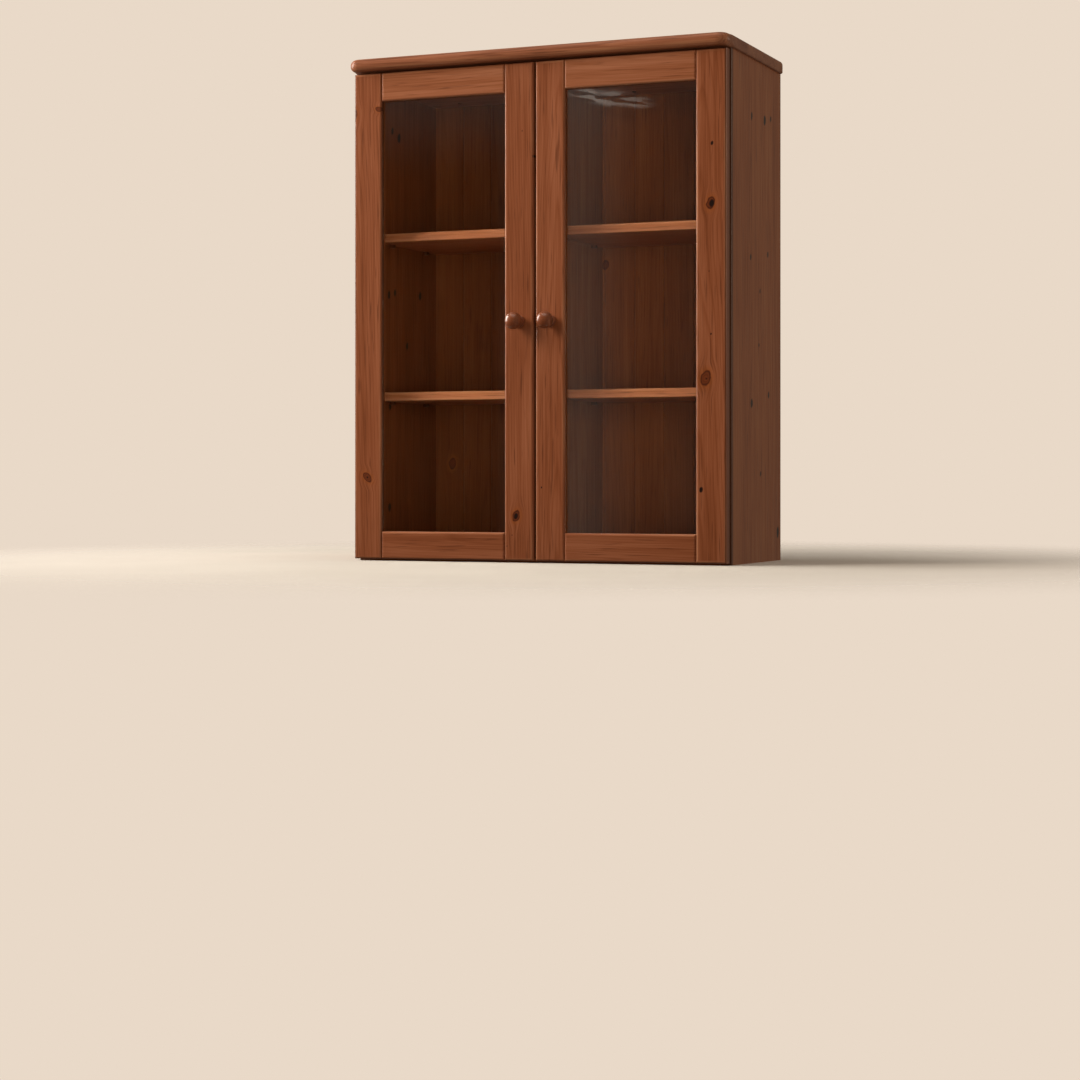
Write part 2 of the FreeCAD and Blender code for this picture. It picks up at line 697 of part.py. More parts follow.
def hinge_cup(height, holes):
    """A cup with a flange for two screws and a pocket in which the arm swings."""
    centre = cup_axis_point(height)
    bar_x = centre.x + FLANGE_BAR_OFFSET
    bar_radius = FLANGE_BAR_WIDTH / 2
    half_spacing = FLANGE_SCREW_SPACING / 2
    flange_back = DOOR_BACK + FLANGE_THICKNESS
    body = rod(centre, V(0, -1, 0), CUP_RADIUS, CUP_DEPTH)
    flange = [rod(centre, V(0, 1, 0), FLANGE_RADIUS, FLANGE_THICKNESS),
              box(bar_x - bar_radius, bar_x + bar_radius, DOOR_BACK, flange_back,
                  height - half_spacing, height + half_spacing)]
    ends = [V(bar_x, DOOR_BACK, height + side * half_spacing) for side in (-1, 1)]
    flange += [rod(end, V(0, 1, 0), bar_radius, FLANGE_THICKNESS) for end in ends]
    pocket = box(DOOR_OUTER + POCKET_START, DOOR_OUTER + POCKET_END,
                 DOOR_BACK - CUP_DEPTH + CUP_FLOOR, flange_back,
                 height - POCKET_WIDTH / 2, height + POCKET_WIDTH / 2)
    bearing = rod(V(PIVOT_X, PIVOT_Y, height - PIN_LENGTH / 2 - PIN_PLAY), V(0, 0, 1),
                  PIN_RADIUS + PIN_PLAY / 2, PIN_LENGTH + 2 * PIN_PLAY)
    return drilled(body.fuse(flange).removeSplitter().cut([pocket, bearing]), holes)


def hinge_pin(height):
    return rod(V(PIVOT_X, PIVOT_Y, height - PIN_LENGTH / 2), V(0, 0, 1), PIN_RADIUS, PIN_LENGTH)


def arm_centre_line():
    """The bent strip's middle line, seen from above, from the pin to its rear end."""
    neck_x = DOOR_OUTER + ARM_NECK_FROM_EDGE
    plate_x = -SIDE_INNER + ARM_THICKNESS / 2
    jog_x = (neck_x + plate_x) / 2
    jog = (neck_x - plate_x) / 2
    bend = ARM_NECK_RADIUS
    half = 0.5 ** 0.5
    pin = V(PIVOT_X, PIVOT_Y, 0)
    bend_start = V(neck_x - bend, PIVOT_Y, 0)
    bend_middle = V(neck_x - bend + bend * half, PIVOT_Y + bend - bend * half, 0)
    bend_end = V(neck_x, PIVOT_Y + bend, 0)
    neck_end = V(neck_x, DOOR_FRONT + ARM_NECK_END, 0)
    first_middle = V(neck_x - jog + jog * half, neck_end.y + jog * half, 0)
    turn = V(jog_x, neck_end.y + jog, 0)
    second_middle = V(plate_x + jog - jog * half, neck_end.y + 2 * jog - jog * half, 0)
    plate_start = V(plate_x, neck_end.y + 2 * jog, 0)
    plate_end = V(plate_x, DOOR_FRONT + ARM_END, 0)
    return Part.Wire([
        Part.LineSegment(pin, bend_start).toShape(),
        Part.Arc(bend_start, bend_middle, bend_end).toShape(),
        Part.LineSegment(bend_end, neck_end).toShape(),
        Part.Arc(neck_end, first_middle, turn).toShape(),
        Part.Arc(turn, second_middle, plate_start).toShape(),
        Part.LineSegment(plate_start, plate_end).toShape(),
    ])


def hinge_arm(height, holes):
    """A bent steel strip with an eye on the pin and a flat screwed to the side."""
    outline = arm_centre_line().makeOffset2D(ARM_THICKNESS / 2)
    strip = Part.Face(outline).extrude(V(0, 0, ARM_WIDTH))
    low = height - ARM_WIDTH / 2
    strip.translate(V(0, 0, low))
    eye = rod(V(PIVOT_X, PIVOT_Y, low), V(0, 0, 1), ARM_EYE_RADIUS, ARM_WIDTH)
    bore = rod(V(PIVOT_X, PIVOT_Y, low), V(0, 0, 1), PIN_RADIUS + PIN_PLAY, ARM_WIDTH)
    return drilled(strip.fuse(eye).removeSplitter().cut(bore), holes)


# Magnetic catches, made for the left door

def catch_body(length, x1):
    front = CARCASS_FRONT + CATCH_FRONT_SETBACK
    return box(-DIVIDER_FACE, x1, front, front + CATCH_DEPTH,
               CATCH_HEIGHT - length / 2, CATCH_HEIGHT + length / 2)


def magnet_slot():
    middle = strike_middle()
    half_width = MAGNET_WIDTH / 2 + POLE_THICKNESS
    front = CARCASS_FRONT + CATCH_FRONT_SETBACK
    return box(middle - half_width, middle + half_width, front, front + MAGNET_DEPTH,
               CATCH_HEIGHT - MAGNET_LENGTH / 2, CATCH_HEIGHT + MAGNET_LENGTH / 2)


def left_catch(holes):
    ears = catch_body(CATCH_EAR_LENGTH, -DIVIDER_FACE - CATCH_EAR_THICKNESS)
    housing = catch_body(CATCH_BODY_LENGTH, -DIVIDER_FACE - CATCH_WIDTH)
    return drilled(ears.fuse(housing).removeSplitter().cut(magnet_slot()), holes)


def catch_magnets():
    """A magnet between two steel pole plates, which stand proud to meet the strike plate."""
    middle = strike_middle()
    front = CARCASS_FRONT + CATCH_FRONT_SETBACK
    pole_front = DOOR_BACK + STRIKE_THICKNESS + POLE_AIR_GAP
    low = CATCH_HEIGHT - MAGNET_LENGTH / 2
    high = CATCH_HEIGHT + MAGNET_LENGTH / 2
    inner = MAGNET_WIDTH / 2
    outer = inner + POLE_THICKNESS
    magnet = box(middle - inner, middle + inner, front, front + MAGNET_DEPTH, low, high)
    poles = [box(middle + side * inner, middle + side * outer, pole_front, front + MAGNET_DEPTH, low, high)
             for side in (-1, 1)]
    return [magnet] + poles


# Assembly

def carcass_parts():
    fitting_holes = both_sides(holes_for(carcass_screws(), FITTING_SCREW))
    fitting_holes += holes_for(bracket_screws(), FITTING_SCREW)
    crown_holes = both_sides(holes_for(crown_screws(), CROWN_SCREW))
    support_holes = both_sides([support_hole(*place) for place in support_places()])
    nails = [hole for index in range(BACK_BOARD_COUNT) for hole in nail_holes(index)]
    board_holes = dowel_holes() + fitting_holes + crown_holes + support_holes + nails
    parts = {
        "crown_board": crown_board(crown_holes),
        "inner_top": inner_top(board_holes),
        "bottom_board": bottom_board(board_holes),
        "left_side": left_side(board_holes),
        "right_side": mirrored(left_side(board_holes)),
        "centre_divider": centre_divider(board_holes),
    }
    for level, underside in SHELF_UNDERSIDES.items():
        left_shelf = shelf(-SIDE_INNER, -DIVIDER_FACE, underside)
        parts["left_%s_shelf" % level] = left_shelf
        parts["right_%s_shelf" % level] = mirrored(left_shelf)
    parts["shelf_supports"] = group(both_sides([shelf_support(*place) for place in support_places()]))
    for index in range(BACK_BOARD_COUNT):
        parts["back_board_%d" % (index + 1)] = back_board(index)
    parts["back_board_nails"] = group(back_board_nails())
    parts["dowels"] = group(both_sides(side_dowels()) + divider_dowels())
    parts["crown_screws"] = group(both_sides(fitted_screws(crown_screws(), CROWN_SCREW)))
    parts["fitting_screws"] = group(both_sides(fitted_screws(carcass_screws(), FITTING_SCREW))
                                    + fitted_screws(bracket_screws(), FITTING_SCREW))
    for level, height in HINGE_HEIGHTS.items():
        arm = hinge_arm(height, fitting_holes)
        parts["left_%s_hinge_arm" % level] = arm
        parts["right_%s_hinge_arm" % level] = mirrored(arm)
    for side, middle in WALL_BRACKET_X.items():
        parts["%s_wall_bracket" % side] = wall_bracket(middle)
    catch = left_catch(fitting_holes)
    parts["left_catch"] = catch
    parts["right_catch"] = mirrored(catch)
    parts["catch_magnets"] = group(both_sides(catch_magnets()))
    return parts


def door_parts():
    """The pieces of the left door by their names within a door."""
    screw_holes = holes_for(door_screws(), FITTING_SCREW)
    cup_holes = [cup_hole(height) for height in HINGE_HEIGHTS.values()]
    bottom_tenon, top_tenon = tenon_sections()
    parts = {
        "hinge_stile": stile(DOOR_OUTER, OPENING_LEFT, cup_holes + screw_holes),
        "meeting_stile": stile(DOOR_INNER, OPENING_RIGHT, [knob_screw_hole()] + screw_holes),
        "top_rail": rail(DOOR_TOP, OPENING_TOP, top_tenon),
        "bottom_rail": rail(DOOR_BOTTOM, OPENING_BOTTOM, bottom_tenon),
        "glass": glass_pane(),
        "glazing_beads": group(glazing_beads()),
        "knob": knob(),
        "knob_screw": screw(*knob_screw_place(), KNOB_SCREW),
        "strike_plate": strike_plate(screw_holes),
        "buffers": group(door_buffers()),
        "hinge_pins": group([hinge_pin(height) for height in HINGE_HEIGHTS.values()]),
        "screws": group(fitted_screws(door_screws(), FITTING_SCREW)),
    }
    for level, height in HINGE_HEIGHTS.items():
        parts["%s_hinge_cup" % level] = hinge_cup(height, screw_holes)
    return parts


def all_parts():
    parts = carcass_parts()
    for name, shape in door_parts().items():
        parts["left_door_" + name] = shape
        parts["right_door_" + name] = mirrored(shape)
    return parts


os.makedirs("parts", exist_ok=True)
for node, shape in all_parts().items():
    shape.exportStep("parts/%s.step" % node)
    print(node, len(shape.Solids), "valid" if shape.isValid() else "NOT VALID", round(shape.Volume))
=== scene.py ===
# %% [markdown]
# # A pine cabinet with two glass doors
# The cabinet is a box of stained pine boards under a rounded crown board. Two framed glass doors
# close it, and each door swings on its own pair of hinges. The solids come from a CAD model that
# has every board, hinge and screw in its place, so nothing has to be modelled again. This lesson
# gives the solids a camera, light and finishes.

# %% Load the solids
from math import radians
from types import SimpleNamespace

import bpy
from mathutils import Euler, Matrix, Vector


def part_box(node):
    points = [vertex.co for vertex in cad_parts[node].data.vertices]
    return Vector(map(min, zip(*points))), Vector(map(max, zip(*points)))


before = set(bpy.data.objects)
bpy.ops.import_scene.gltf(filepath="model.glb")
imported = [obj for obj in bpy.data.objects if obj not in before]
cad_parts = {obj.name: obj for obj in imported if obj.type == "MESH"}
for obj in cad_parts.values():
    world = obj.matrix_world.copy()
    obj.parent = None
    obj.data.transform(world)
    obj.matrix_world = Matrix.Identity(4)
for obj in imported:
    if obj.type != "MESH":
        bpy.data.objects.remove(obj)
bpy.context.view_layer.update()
bpy.ops.object.select_all(action="DESELECT")

# %% [markdown]
# The view comes first, because it tells which faces matter most. The camera stands low and to the
# right and looks level, so upright edges stay upright in the picture. Tilting it down would make them
# lean. The lens is shifted down a little instead, as on a camera for buildings. Its focal length and
# the row of the horizon are known in pixels and are turned to what Blender asks for.

# %% Camera
PICTURE_WIDTH = 1080
SENSOR_MM = 36.0
FOCAL_PIXELS = 2341.1
HORIZON_ROW = 478.06
CAMERA_PLACE = (1.80297, -4.47129, 0.16865)
CAMERA_TURN = 22.7

bpy.ops.object.camera_add(
    location=CAMERA_PLACE,
    rotation=(radians(90), 0, radians(CAMERA_TURN)),
)
camera = bpy.context.object
camera.name = "camera"
camera.data.sensor_width = SENSOR_MM
camera.data.lens = SENSOR_MM * FOCAL_PIXELS / PICTURE_WIDTH
camera.data.shift_y = (HORIZON_ROW - PICTURE_WIDTH / 2) / PICTURE_WIDTH
bpy.context.scene.camera = camera
bpy.context.scene.view_settings.view_transform = "Standard"
print("lens in mm:", round(camera.data.lens, 2), "shift:", round(camera.data.shift_y, 4))

# %% [markdown]
# Every finish below is a small graph of nodes. One helper adds a node, sets what it is given and links
# the rest, so that each graph reads from top to bottom. Colours are written as they look on a screen
# and turned to the linear values that light is added up in.

# %% Helpers for finishes
def screen_colour(code):
    """A screen colour such as 84482C as linear red, green, blue and alpha."""
    parts = [int(code[at:at + 2], 16) / 255 for at in (0, 2, 4)]
    linear = [p / 12.92 if p <= 0.04045 else ((p + 0.055) / 1.055) ** 2.4 for p in parts]
    return (*linear, 1.0)


def add_node(tree, kind, inputs=None, stops=(), **settings):
    """Adds one node. A socket among the inputs is linked, any other value is set."""
    made = tree.nodes.new(kind)
    for name, value in settings.items():
        setattr(made, name, value)
    for key, value in (inputs or {}).items():
        if isinstance(value, bpy.types.NodeSocket):
            tree.links.new(value, made.inputs[key])
        else:
            made.inputs[key].default_value = value
    if stops:
        ramp = made.color_ramp.elements
        ramp[0].position = stops[0][0]
        ramp[1].position = stops[-1][0]
        for place, _ in stops[1:-1]:
            ramp.new(place)
        for element, (_, code) in zip(ramp, stops):
            element.color = screen_colour(code)
    return made


def new_finish(name):
    """A material with an empty graph, the graph and its output node."""
    finish = bpy.data.materials.new(name)
    finish.use_nodes = True
    finish.node_tree.nodes.clear()
    output = add_node(finish.node_tree, "ShaderNodeOutputMaterial")
    return finish, finish.node_tree, output


def dress(piece, finish):
    """Puts a finish on a solid."""
    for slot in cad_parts[piece].material_slots:
        slot.material = finish


print("a mid brown in linear light:", [round(part, 3) for part in screen_colour("84482C")])

# %% [markdown]
# The cabinet stands on a plain floor. A flat grid is enough for it, because all that it has to show is
# the cabinet's shadow. It is left out of bounced and mirrored light: a bright floor would lift the dark
# undersides of the boards and lay a veil over the door glass.

# %% Floor
FLOOR_SIZE = 12.0
FLOOR_CELLS = 8

bpy.ops.mesh.primitive_grid_add(x_subdivisions=FLOOR_CELLS, y_subdivisions=FLOOR_CELLS, size=FLOOR_SIZE)
floor = bpy.context.object
floor.name = "floor"
floor.visible_diffuse = False
floor.visible_glossy = False
print("floor:", FLOOR_SIZE, "m wide")

# %% [markdown]
# The floor's finish is plaster that was smoothed by hand: pale, matt and very slightly cloudy. A hard
# edge far behind the cabinet would draw a line across the picture. So the plaster fades out with the
# distance from the cabinet, and meets the pale backdrop without a line.

# %% Finish of the floor
FLOOR_FADES_FROM = 0.55
FLOOR_GONE_AT = 1.7
PLASTER_CLOUD_MM = 333.3

plaster, tree, output = new_finish("pale_plaster")
place = add_node(tree, "ShaderNodeTexCoord").outputs["Object"]
cloud = add_node(tree, "ShaderNodeTexNoise", {
    "Vector": place, "Scale": 1000 / PLASTER_CLOUD_MM, "Detail": 4.0,
})
pale = add_node(tree, "ShaderNodeValToRGB", {0: cloud.outputs[0]}, [(0.3, "D6D3CC"), (0.7, "DDDAD3")])
matt = add_node(tree, "ShaderNodeBsdfPrincipled", {"Base Color": pale.outputs["Color"], "Roughness": 0.8})
away = add_node(tree, "ShaderNodeVectorMath", {0: place}, operation="LENGTH")
fade = add_node(tree, "ShaderNodeMapRange", {
    "Value": away.outputs["Value"], "From Min": FLOOR_FADES_FROM, "From Max": FLOOR_GONE_AT,
}, interpolation_type="SMOOTHSTEP")
clear = add_node(tree, "ShaderNodeBsdfTransparent")
ground = add_node(tree, "ShaderNodeMixShader", {
    0: fade.outputs["Result"], 1: matt.outputs["BSDF"], 2: clear.outputs["BSDF"],
})
tree.links.new(ground.outputs["Shader"], output.inputs["Surface"])
floor.data.materials.append(plaster)
print("floor fades between", FLOOR_FADES_FROM, "and", FLOOR_GONE_AT, "m")

# %% [markdown]
# Most of the light comes from the left. It is large and meets the doors at a slant, so the fronts are
# bright and the shelves behind them stay dark. A narrower light further round gives each knob its small
# highlight and draws bright lines on the edges that face it. Three weaker lights lift the right side,
# the inside and the crown. The left and the front light are kept out of mirrored light, because the
# panes would show them as hard white sheets.

# %% Lights
def soft_light(name, at, towards, width, height, watts, colour):
    """A rectangular soft light that faces a point and doesn't show itself."""
    facing = (Vector(towards) - Vector(at)).to_track_quat("-Z", "Y").to_euler()
    bpy.ops.object.light_add(type="AREA", location=at, rotation=facing)
    light = bpy.context.object
    light.name = name
    light.visible_camera = False
    light.data.shape = "RECTANGLE"
    light.data.size = width
    light.data.size_y = height
    light.data.energy = watts
    light.data.color = screen_colour(colour)[:3]


soft_light("left_light", at=(-3.4, -2.8, 2.7), towards=(0, -0.2, 0.7),
           width=2.0, height=2.0, watts=185, colour="FFF1E0")
soft_light("edge_light", at=(-3.2, -0.5, 1.6), towards=(0, -0.2, 0.6),
           width=1.3, height=2.6, watts=120, colour="FFF6EC")
soft_light("side_light", at=(3.2, 0.9, 1.2), towards=(0.4, 0, 0.5),
           width=1.6, height=1.6, watts=24, colour="FFEBD4")
soft_light("front_light", at=(2.2, -4.6, 0.3), towards=(0, 0, 0.5),
           width=2.0, height=2.0, watts=62, colour="FFEEDC")
soft_light("ceiling_light", at=(0, -1.0, 3.6), towards=(0, -0.6, 0),
           width=3.0, height=3.0, watts=30, colour="FFF4E8")
for name in ("left_light", "front_light"):
    bpy.data.objects[name].visible_glossy = False

# %% [markdown]
# The air around the scene gives a little even light too. It is dimmest in front on the left, because
# the door glass mirrors that side and has to stay clear. What the camera sees of it, also straight
# through a pane, is a pale backdrop. A ray that has bounced or been mirrored gets the dim light instead.

# %% Surrounding light
AIR_DIM = 0.03
AIR_BRIGHT = 0.2
BRIGHT_SIDE = (0.5, 0.86, 0.1)
AIR_SPREAD = 0.9
# bounces are counted in whole numbers, so fewer than this means none
FIRST_BOUNCE = 0.5

world = bpy.data.worlds.new("pale_backdrop")
bpy.context.scene.world = world
world.use_nodes = True
tree = world.node_tree
tree.nodes.clear()
looking = add_node(tree, "ShaderNodeTexCoord").outputs["Generated"]
behind = add_node(tree, "ShaderNodeVectorMath", {0: looking, 1: BRIGHT_SIDE}, operation="DOT_PRODUCT")
strength = add_node(tree, "ShaderNodeMapRange", {
    "Value": behind.outputs["Value"], "From Min": -AIR_SPREAD, "From Max": AIR_SPREAD,
    "To Min": AIR_DIM, "To Max": AIR_BRIGHT,
}, interpolation_type="SMOOTHSTEP")
light_air = add_node(tree, "ShaderNodeBackground", {
    "Color": screen_colour("FFE6CC"), "Strength": strength.outputs["Result"],
})
seen_air = add_node(tree, "ShaderNodeBackground", {"Color": screen_colour("E9D9C8"), "Strength": 1.0})
ray = add_node(tree, "ShaderNodeLightPath").outputs
bounces = add_node(tree, "ShaderNodeMath", {
    0: ray["Glossy Depth"], 1: ray["Diffuse Depth"],
}, operation="ADD")
straight = add_node(tree, "ShaderNodeMath", {
    0: bounces.outputs[0], 1: FIRST_BOUNCE,
}, operation="LESS_THAN")
through_glass = add_node(tree, "ShaderNodeMath", {
    0: ray["Is Transmission Ray"], 1: straight.outputs[0],
}, operation="MULTIPLY")
seen = add_node(tree, "ShaderNodeMath", {
    0: ray["Is Camera Ray"], 1: through_glass.outputs[0],
}, operation="MAXIMUM")
air = add_node(tree, "ShaderNodeMixShader", {
    0: seen.outputs[0], 1: light_air.outputs[0], 2: seen_air.outputs[0],
})
add_node(tree, "ShaderNodeOutputWorld", {"Surface": air.outputs[0]})
print("air gives", AIR_DIM, "to", AIR_BRIGHT)

# %% [markdown]
# Glass shows itself by what it mirrors, and with nothing to mirror it would look like a hole. A dimly
# glowing card stands off to the left, outside the picture, and paints a reflection into the panes. It
# only shows in mirrored light, so it neither lights the boards nor throws a shadow.

# %% Card for the glass to mirror
CARD_SIZE = (1.2, 2.2, 1)
CARD_PLACE = (-0.95, -2.2, 0.75)

bpy.ops.mesh.primitive_plane_add(size=1)
card = bpy.context.object
card.name = "mirror_card"
card.scale = CARD_SIZE
card.location = CARD_PLACE
card.rotation_euler = (radians(90), 0, 0)
bpy.ops.object.transform_apply()
card.visible_camera = False
card.visible_diffuse = False
card.visible_shadow = False
print("card stands at", CARD_PLACE)

# %% [markdown]
# The inner third of the right pane mirrors the card as a soft grey veil, and so do the tops of both
# panes. The veil is an upright band on the card that fades at both edges, and a level band near the
# card's top that gets weaker to the right. Soft fades suit it, because a real pane mirrors things that
# stand far off and have no sharp edge there.

# %% Veil on the card
VEIL = 0.26
VEIL_RISES = (-0.98, -0.86)
VEIL_FALLS = (-0.74, -0.5)
VEIL_REMAINS = 0.2
TOP_BAND = 0.17
BAND_RISES = (1.05, 1.35)
BAND_WEAKENS = (-0.9, -0.45)
BAND_SHARES = (1.1, 0.4)

dim_card, tree, output = new_finish("dim_card")
place = add_node(tree, "ShaderNodeTexCoord").outputs["Object"]
spot = add_node(tree, "ShaderNodeSeparateXYZ", {0: place}).outputs
rise = add_node(tree, "ShaderNodeMapRange", {
    "Value": spot["X"], "From Min": VEIL_RISES[0], "From Max": VEIL_RISES[1],
    "To Min": 0.0, "To Max": VEIL,
}, interpolation_type="SMOOTHSTEP").outputs[0]
fall = add_node(tree, "ShaderNodeMapRange", {
    "Value": spot["X"], "From Min": VEIL_FALLS[0], "From Max": VEIL_FALLS[1],
    "To Min": 1.0, "To Max": VEIL_REMAINS,
}, interpolation_type="SMOOTHSTEP").outputs[0]
top = add_node(tree, "ShaderNodeMapRange", {
    "Value": spot["Z"], "From Min": BAND_RISES[0], "From Max": BAND_RISES[1],
    "To Min": 0.0, "To Max": TOP_BAND,
}, interpolation_type="SMOOTHSTEP").outputs[0]
weaker = add_node(tree, "ShaderNodeMapRange", {
    "Value": spot["X"], "From Min": BAND_WEAKENS[0], "From Max": BAND_WEAKENS[1],
    "To Min": BAND_SHARES[0], "To Max": BAND_SHARES[1],
}, interpolation_type="SMOOTHSTEP").outputs[0]
band = add_node(tree, "ShaderNodeMath", {0: top, 1: weaker}, operation="MULTIPLY").outputs[0]
veil = add_node(tree, "ShaderNodeMath", {0: rise, 1: fall, 2: band}, operation="MULTIPLY_ADD").outputs[0]
print("veil:", VEIL, "band at the top:", TOP_BAND)

# %% [markdown]
# At the top of the right pane a small broken patch of sun glints. It is a long, tilted oval on the
# card, cut into shards. Voronoi cells give the shards, since each cell has one grey of its own and only
# the light greys are kept.

# %% Patch of sun on the card
SUN = 1.15
SUN_PLACE = (-0.618, 0, 1.266)
SUN_TILT = 11
SUN_SIZE = (0.16, 1000, 0.03)
SUN_FADES_FROM = 0.5
SHARDS_ACROSS = 2.8
LIGHT_GREYS = (0.4, 0.65)

sun_patch = add_node(tree, "ShaderNodeMapping", {
    "Vector": place, "Location": SUN_PLACE, "Rotation": (0, radians(SUN_TILT), 0), "Scale": SUN_SIZE,
}, vector_type="TEXTURE").outputs[0]
from_middle = add_node(tree, "ShaderNodeVectorMath", {0: sun_patch}, operation="LENGTH").outputs["Value"]
patch = add_node(tree, "ShaderNodeMapRange", {
    "Value": from_middle, "From Min": SUN_FADES_FROM, "From Max": 1.0, "To Min": 1.0, "To Max": 0.0,
}, interpolation_type="SMOOTHSTEP").outputs[0]
greys = add_node(tree, "ShaderNodeTexVoronoi", {
    "Vector": sun_patch, "Scale": SHARDS_ACROSS,
}).outputs["Color"]
shards = add_node(tree, "ShaderNodeMapRange", {
    "Value": greys, "From Min": LIGHT_GREYS[0], "From Max": LIGHT_GREYS[1],
}).outputs[0]
sun = add_node(tree, "ShaderNodeMath", {0: shards, 1: patch}, operation="MULTIPLY").outputs[0]
bright = add_node(tree, "ShaderNodeMath", {0: sun, 1: SUN, 2: veil}, operation="MULTIPLY_ADD").outputs[0]
glow = add_node(tree, "ShaderNodeEmission", {"Color": screen_colour("FBEFE2"), "Strength": bright})
tree.links.new(glow.outputs["Emission"], output.inputs["Surface"])
card.data.materials.append(dim_card)
print("patch of sun:", SUN_SIZE[0] * 2, "m long,", SUN_SIZE[2] * 2, "m high")

# %% [markdown]
# Pine is sawn from a trunk with yearly rings. A board's face cuts those rings, and that gives the long
# arches and stripes of its grain. A picture of wood could be wrapped around a board, but it would not
# meet itself at the arrises. So the pattern is a trunk in space, and every face shows what a saw would
# show there. For this each board gets axes of its own: x across the grain, y through the board and z
# along the grain. A wide panel is glued up from staves, and a chance of its own moves each stave to
# another place in the trunk.

# %% Lay out a board
GRAIN_TURN = {
    "upright": (0, 0, 0),
    "upright_side": (0, 0, radians(-90)),
    "level": (0, radians(90), 0),
    "flat": (radians(-90), radians(-90), 0),
}
STAVE_SHIFT = (0.14, 0.08, 6.0)
# a little more than the board's width, so that its last arris stays in the last stave
STAVES_REACH = 1.001


def lay_out_board(piece, grain, seed, staves):
    """A new finish for a board, with the board's own axes and a shift for each stave."""
    low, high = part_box(piece)
    board = SimpleNamespace(middle=(low + high) / 2, turn=Euler(GRAIN_TURN[grain]).to_matrix())
    board.size = [abs(part) for part in board.turn @ (high - low)]
    board.finish, board.tree, board.output = new_finish("stained_pine_" + piece)
    coordinates = add_node(board.tree, "ShaderNodeTexCoord")
    board.place = add_node(board.tree, "ShaderNodeMapping", {
        "Vector": coordinates.outputs["Object"],
        "Location": -(board.turn @ board.middle), "Rotation": GRAIN_TURN[grain],
    }).outputs["Vector"]
    split = add_node(board.tree, "ShaderNodeSeparateXYZ", {0: board.place}).outputs
    board.through = split["Y"]
    board.along = split["Z"]
    width = board.size[0] * STAVES_REACH
    counted = add_node(board.tree, "ShaderNodeMath", {
        0: split["X"], 1: staves / width, 2: staves / 2,
    }, operation="MULTIPLY_ADD").outputs[0]
    stave = add_node(board.tree, "ShaderNodeMath", {0: counted}, operation="FLOOR").outputs[0]
    numbered = add_node(board.tree, "ShaderNodeMath", {0: stave, 1: seed}, operation="ADD").outputs[0]
    chance = add_node(board.tree, "ShaderNodeTexWhiteNoise", {"W": numbered}, noise_dimensions="1D").outputs
    board.chance = chance["Value"]
    board.moved = add_node(board.tree, "ShaderNodeVectorMath", {
        0: chance["Color"], 1: STAVE_SHIFT, 2: board.place,
    }, operation="MULTIPLY_ADD").outputs[0]
    return board


print("ways the grain can run:", ", ".join(GRAIN_TURN))

# %% [markdown]
# A knot is the foot of a branch that the trunk grew around. On a planed board it is flush with the
# wood, so it needs no shape of its own, only a place: its middle and radius in millimetres and, where it
# leans, a tilt in degrees. Distances from it are counted in its own radius, and so small and large
# knots share one pattern. A little noise makes its edge waver.

# %% Places of knots
KNOT_LENGTH = 1.5
KNOT_DEPTH = 0.015
KNOT_TILT = 14
KNOT_WAVER = 0.6
WAVER_MM = 10.53
FAR_FROM_KNOTS = 9.0


def from_knot(board, x, y, z, radius, tilt=KNOT_TILT):
    """The way from a knot's middle, in its own radius, and how far that is."""
    spot = board.turn @ (Vector((x, y, z)) / 1000 - board.middle)
    way = add_node(board.tree, "ShaderNodeMapping", {
        "Vector": board.place, "Location": spot, "Rotation": (0, radians(tilt), 0),
        "Scale": (radius / 1000, KNOT_DEPTH, KNOT_LENGTH * radius / 1000),
    }, vector_type="TEXTURE").outputs[0]
    far = add_node(board.tree, "ShaderNodeVectorMath", {0: way}, operation="LENGTH").outputs["Value"]
    return way, far


def nearest_knot(board, knots):
    """How far the nearest of some knots is, with an edge that wavers a little."""
    nearest = FAR_FROM_KNOTS
    for knot in knots:
        far = from_knot(board, *knot)[1]
        nearest = add_node(board.tree, "ShaderNodeMath", {
            0: far, 1: nearest,
        }, operation="MINIMUM").outputs[0]
    waver = add_node(board.tree, "ShaderNodeTexNoise", {
        "Vector": board.place, "Scale": 1000 / WAVER_MM, "Detail": 1.0,
    }).outputs[0]
    return add_node(board.tree, "ShaderNodeMath", {
        0: waver, 1: KNOT_WAVER, 2: nearest,
    }, operation="MULTIPLY_ADD").outputs[0]


print("a knot is", KNOT_LENGTH, "times as long as wide, and", KNOT_DEPTH * 1000, "mm deep")

# %% [markdown]
# Around a knot the fibres had to grow past the branch, so the grain swells out on both sides of it.
# Every point near a knot therefore reads the grain from a little nearer to its middle, which moves
# the lines apart. This has to come before the rings are drawn, because they all follow it.

# %% Grain around knots
KNOT_PUSH = 0.75
SWELLS_FROM = 3.5
SWELLS_FULLY = 0.6


def swell_around_knots(board, knots):
    """Pushes the grain out sideways around each knot."""
    for knot in knots:
        way, far = from_knot(board, *knot)
        radius = knot[3] / 1000
        near = add_node(board.tree, "ShaderNodeMapRange", {
            "Value": far, "From Min": SWELLS_FULLY, "From Max": SWELLS_FROM, "To Min": 1.0, "To Max": 0.0,
        }, interpolation_type="SMOOTHSTEP").outputs[0]
        bulge = add_node(board.tree, "ShaderNodeVectorMath", {
            0: way, "Scale": near,
        }, operation="SCALE").outputs[0]
        board.moved = add_node(board.tree, "ShaderNodeVectorMath", {
            0: bulge, 1: (-KNOT_PUSH * radius, 0, 0), 2: board.moved,
        }, operation="MULTIPLY_ADD").outputs[0]


print("grain swells within", SWELLS_FROM, "radii of a knot")

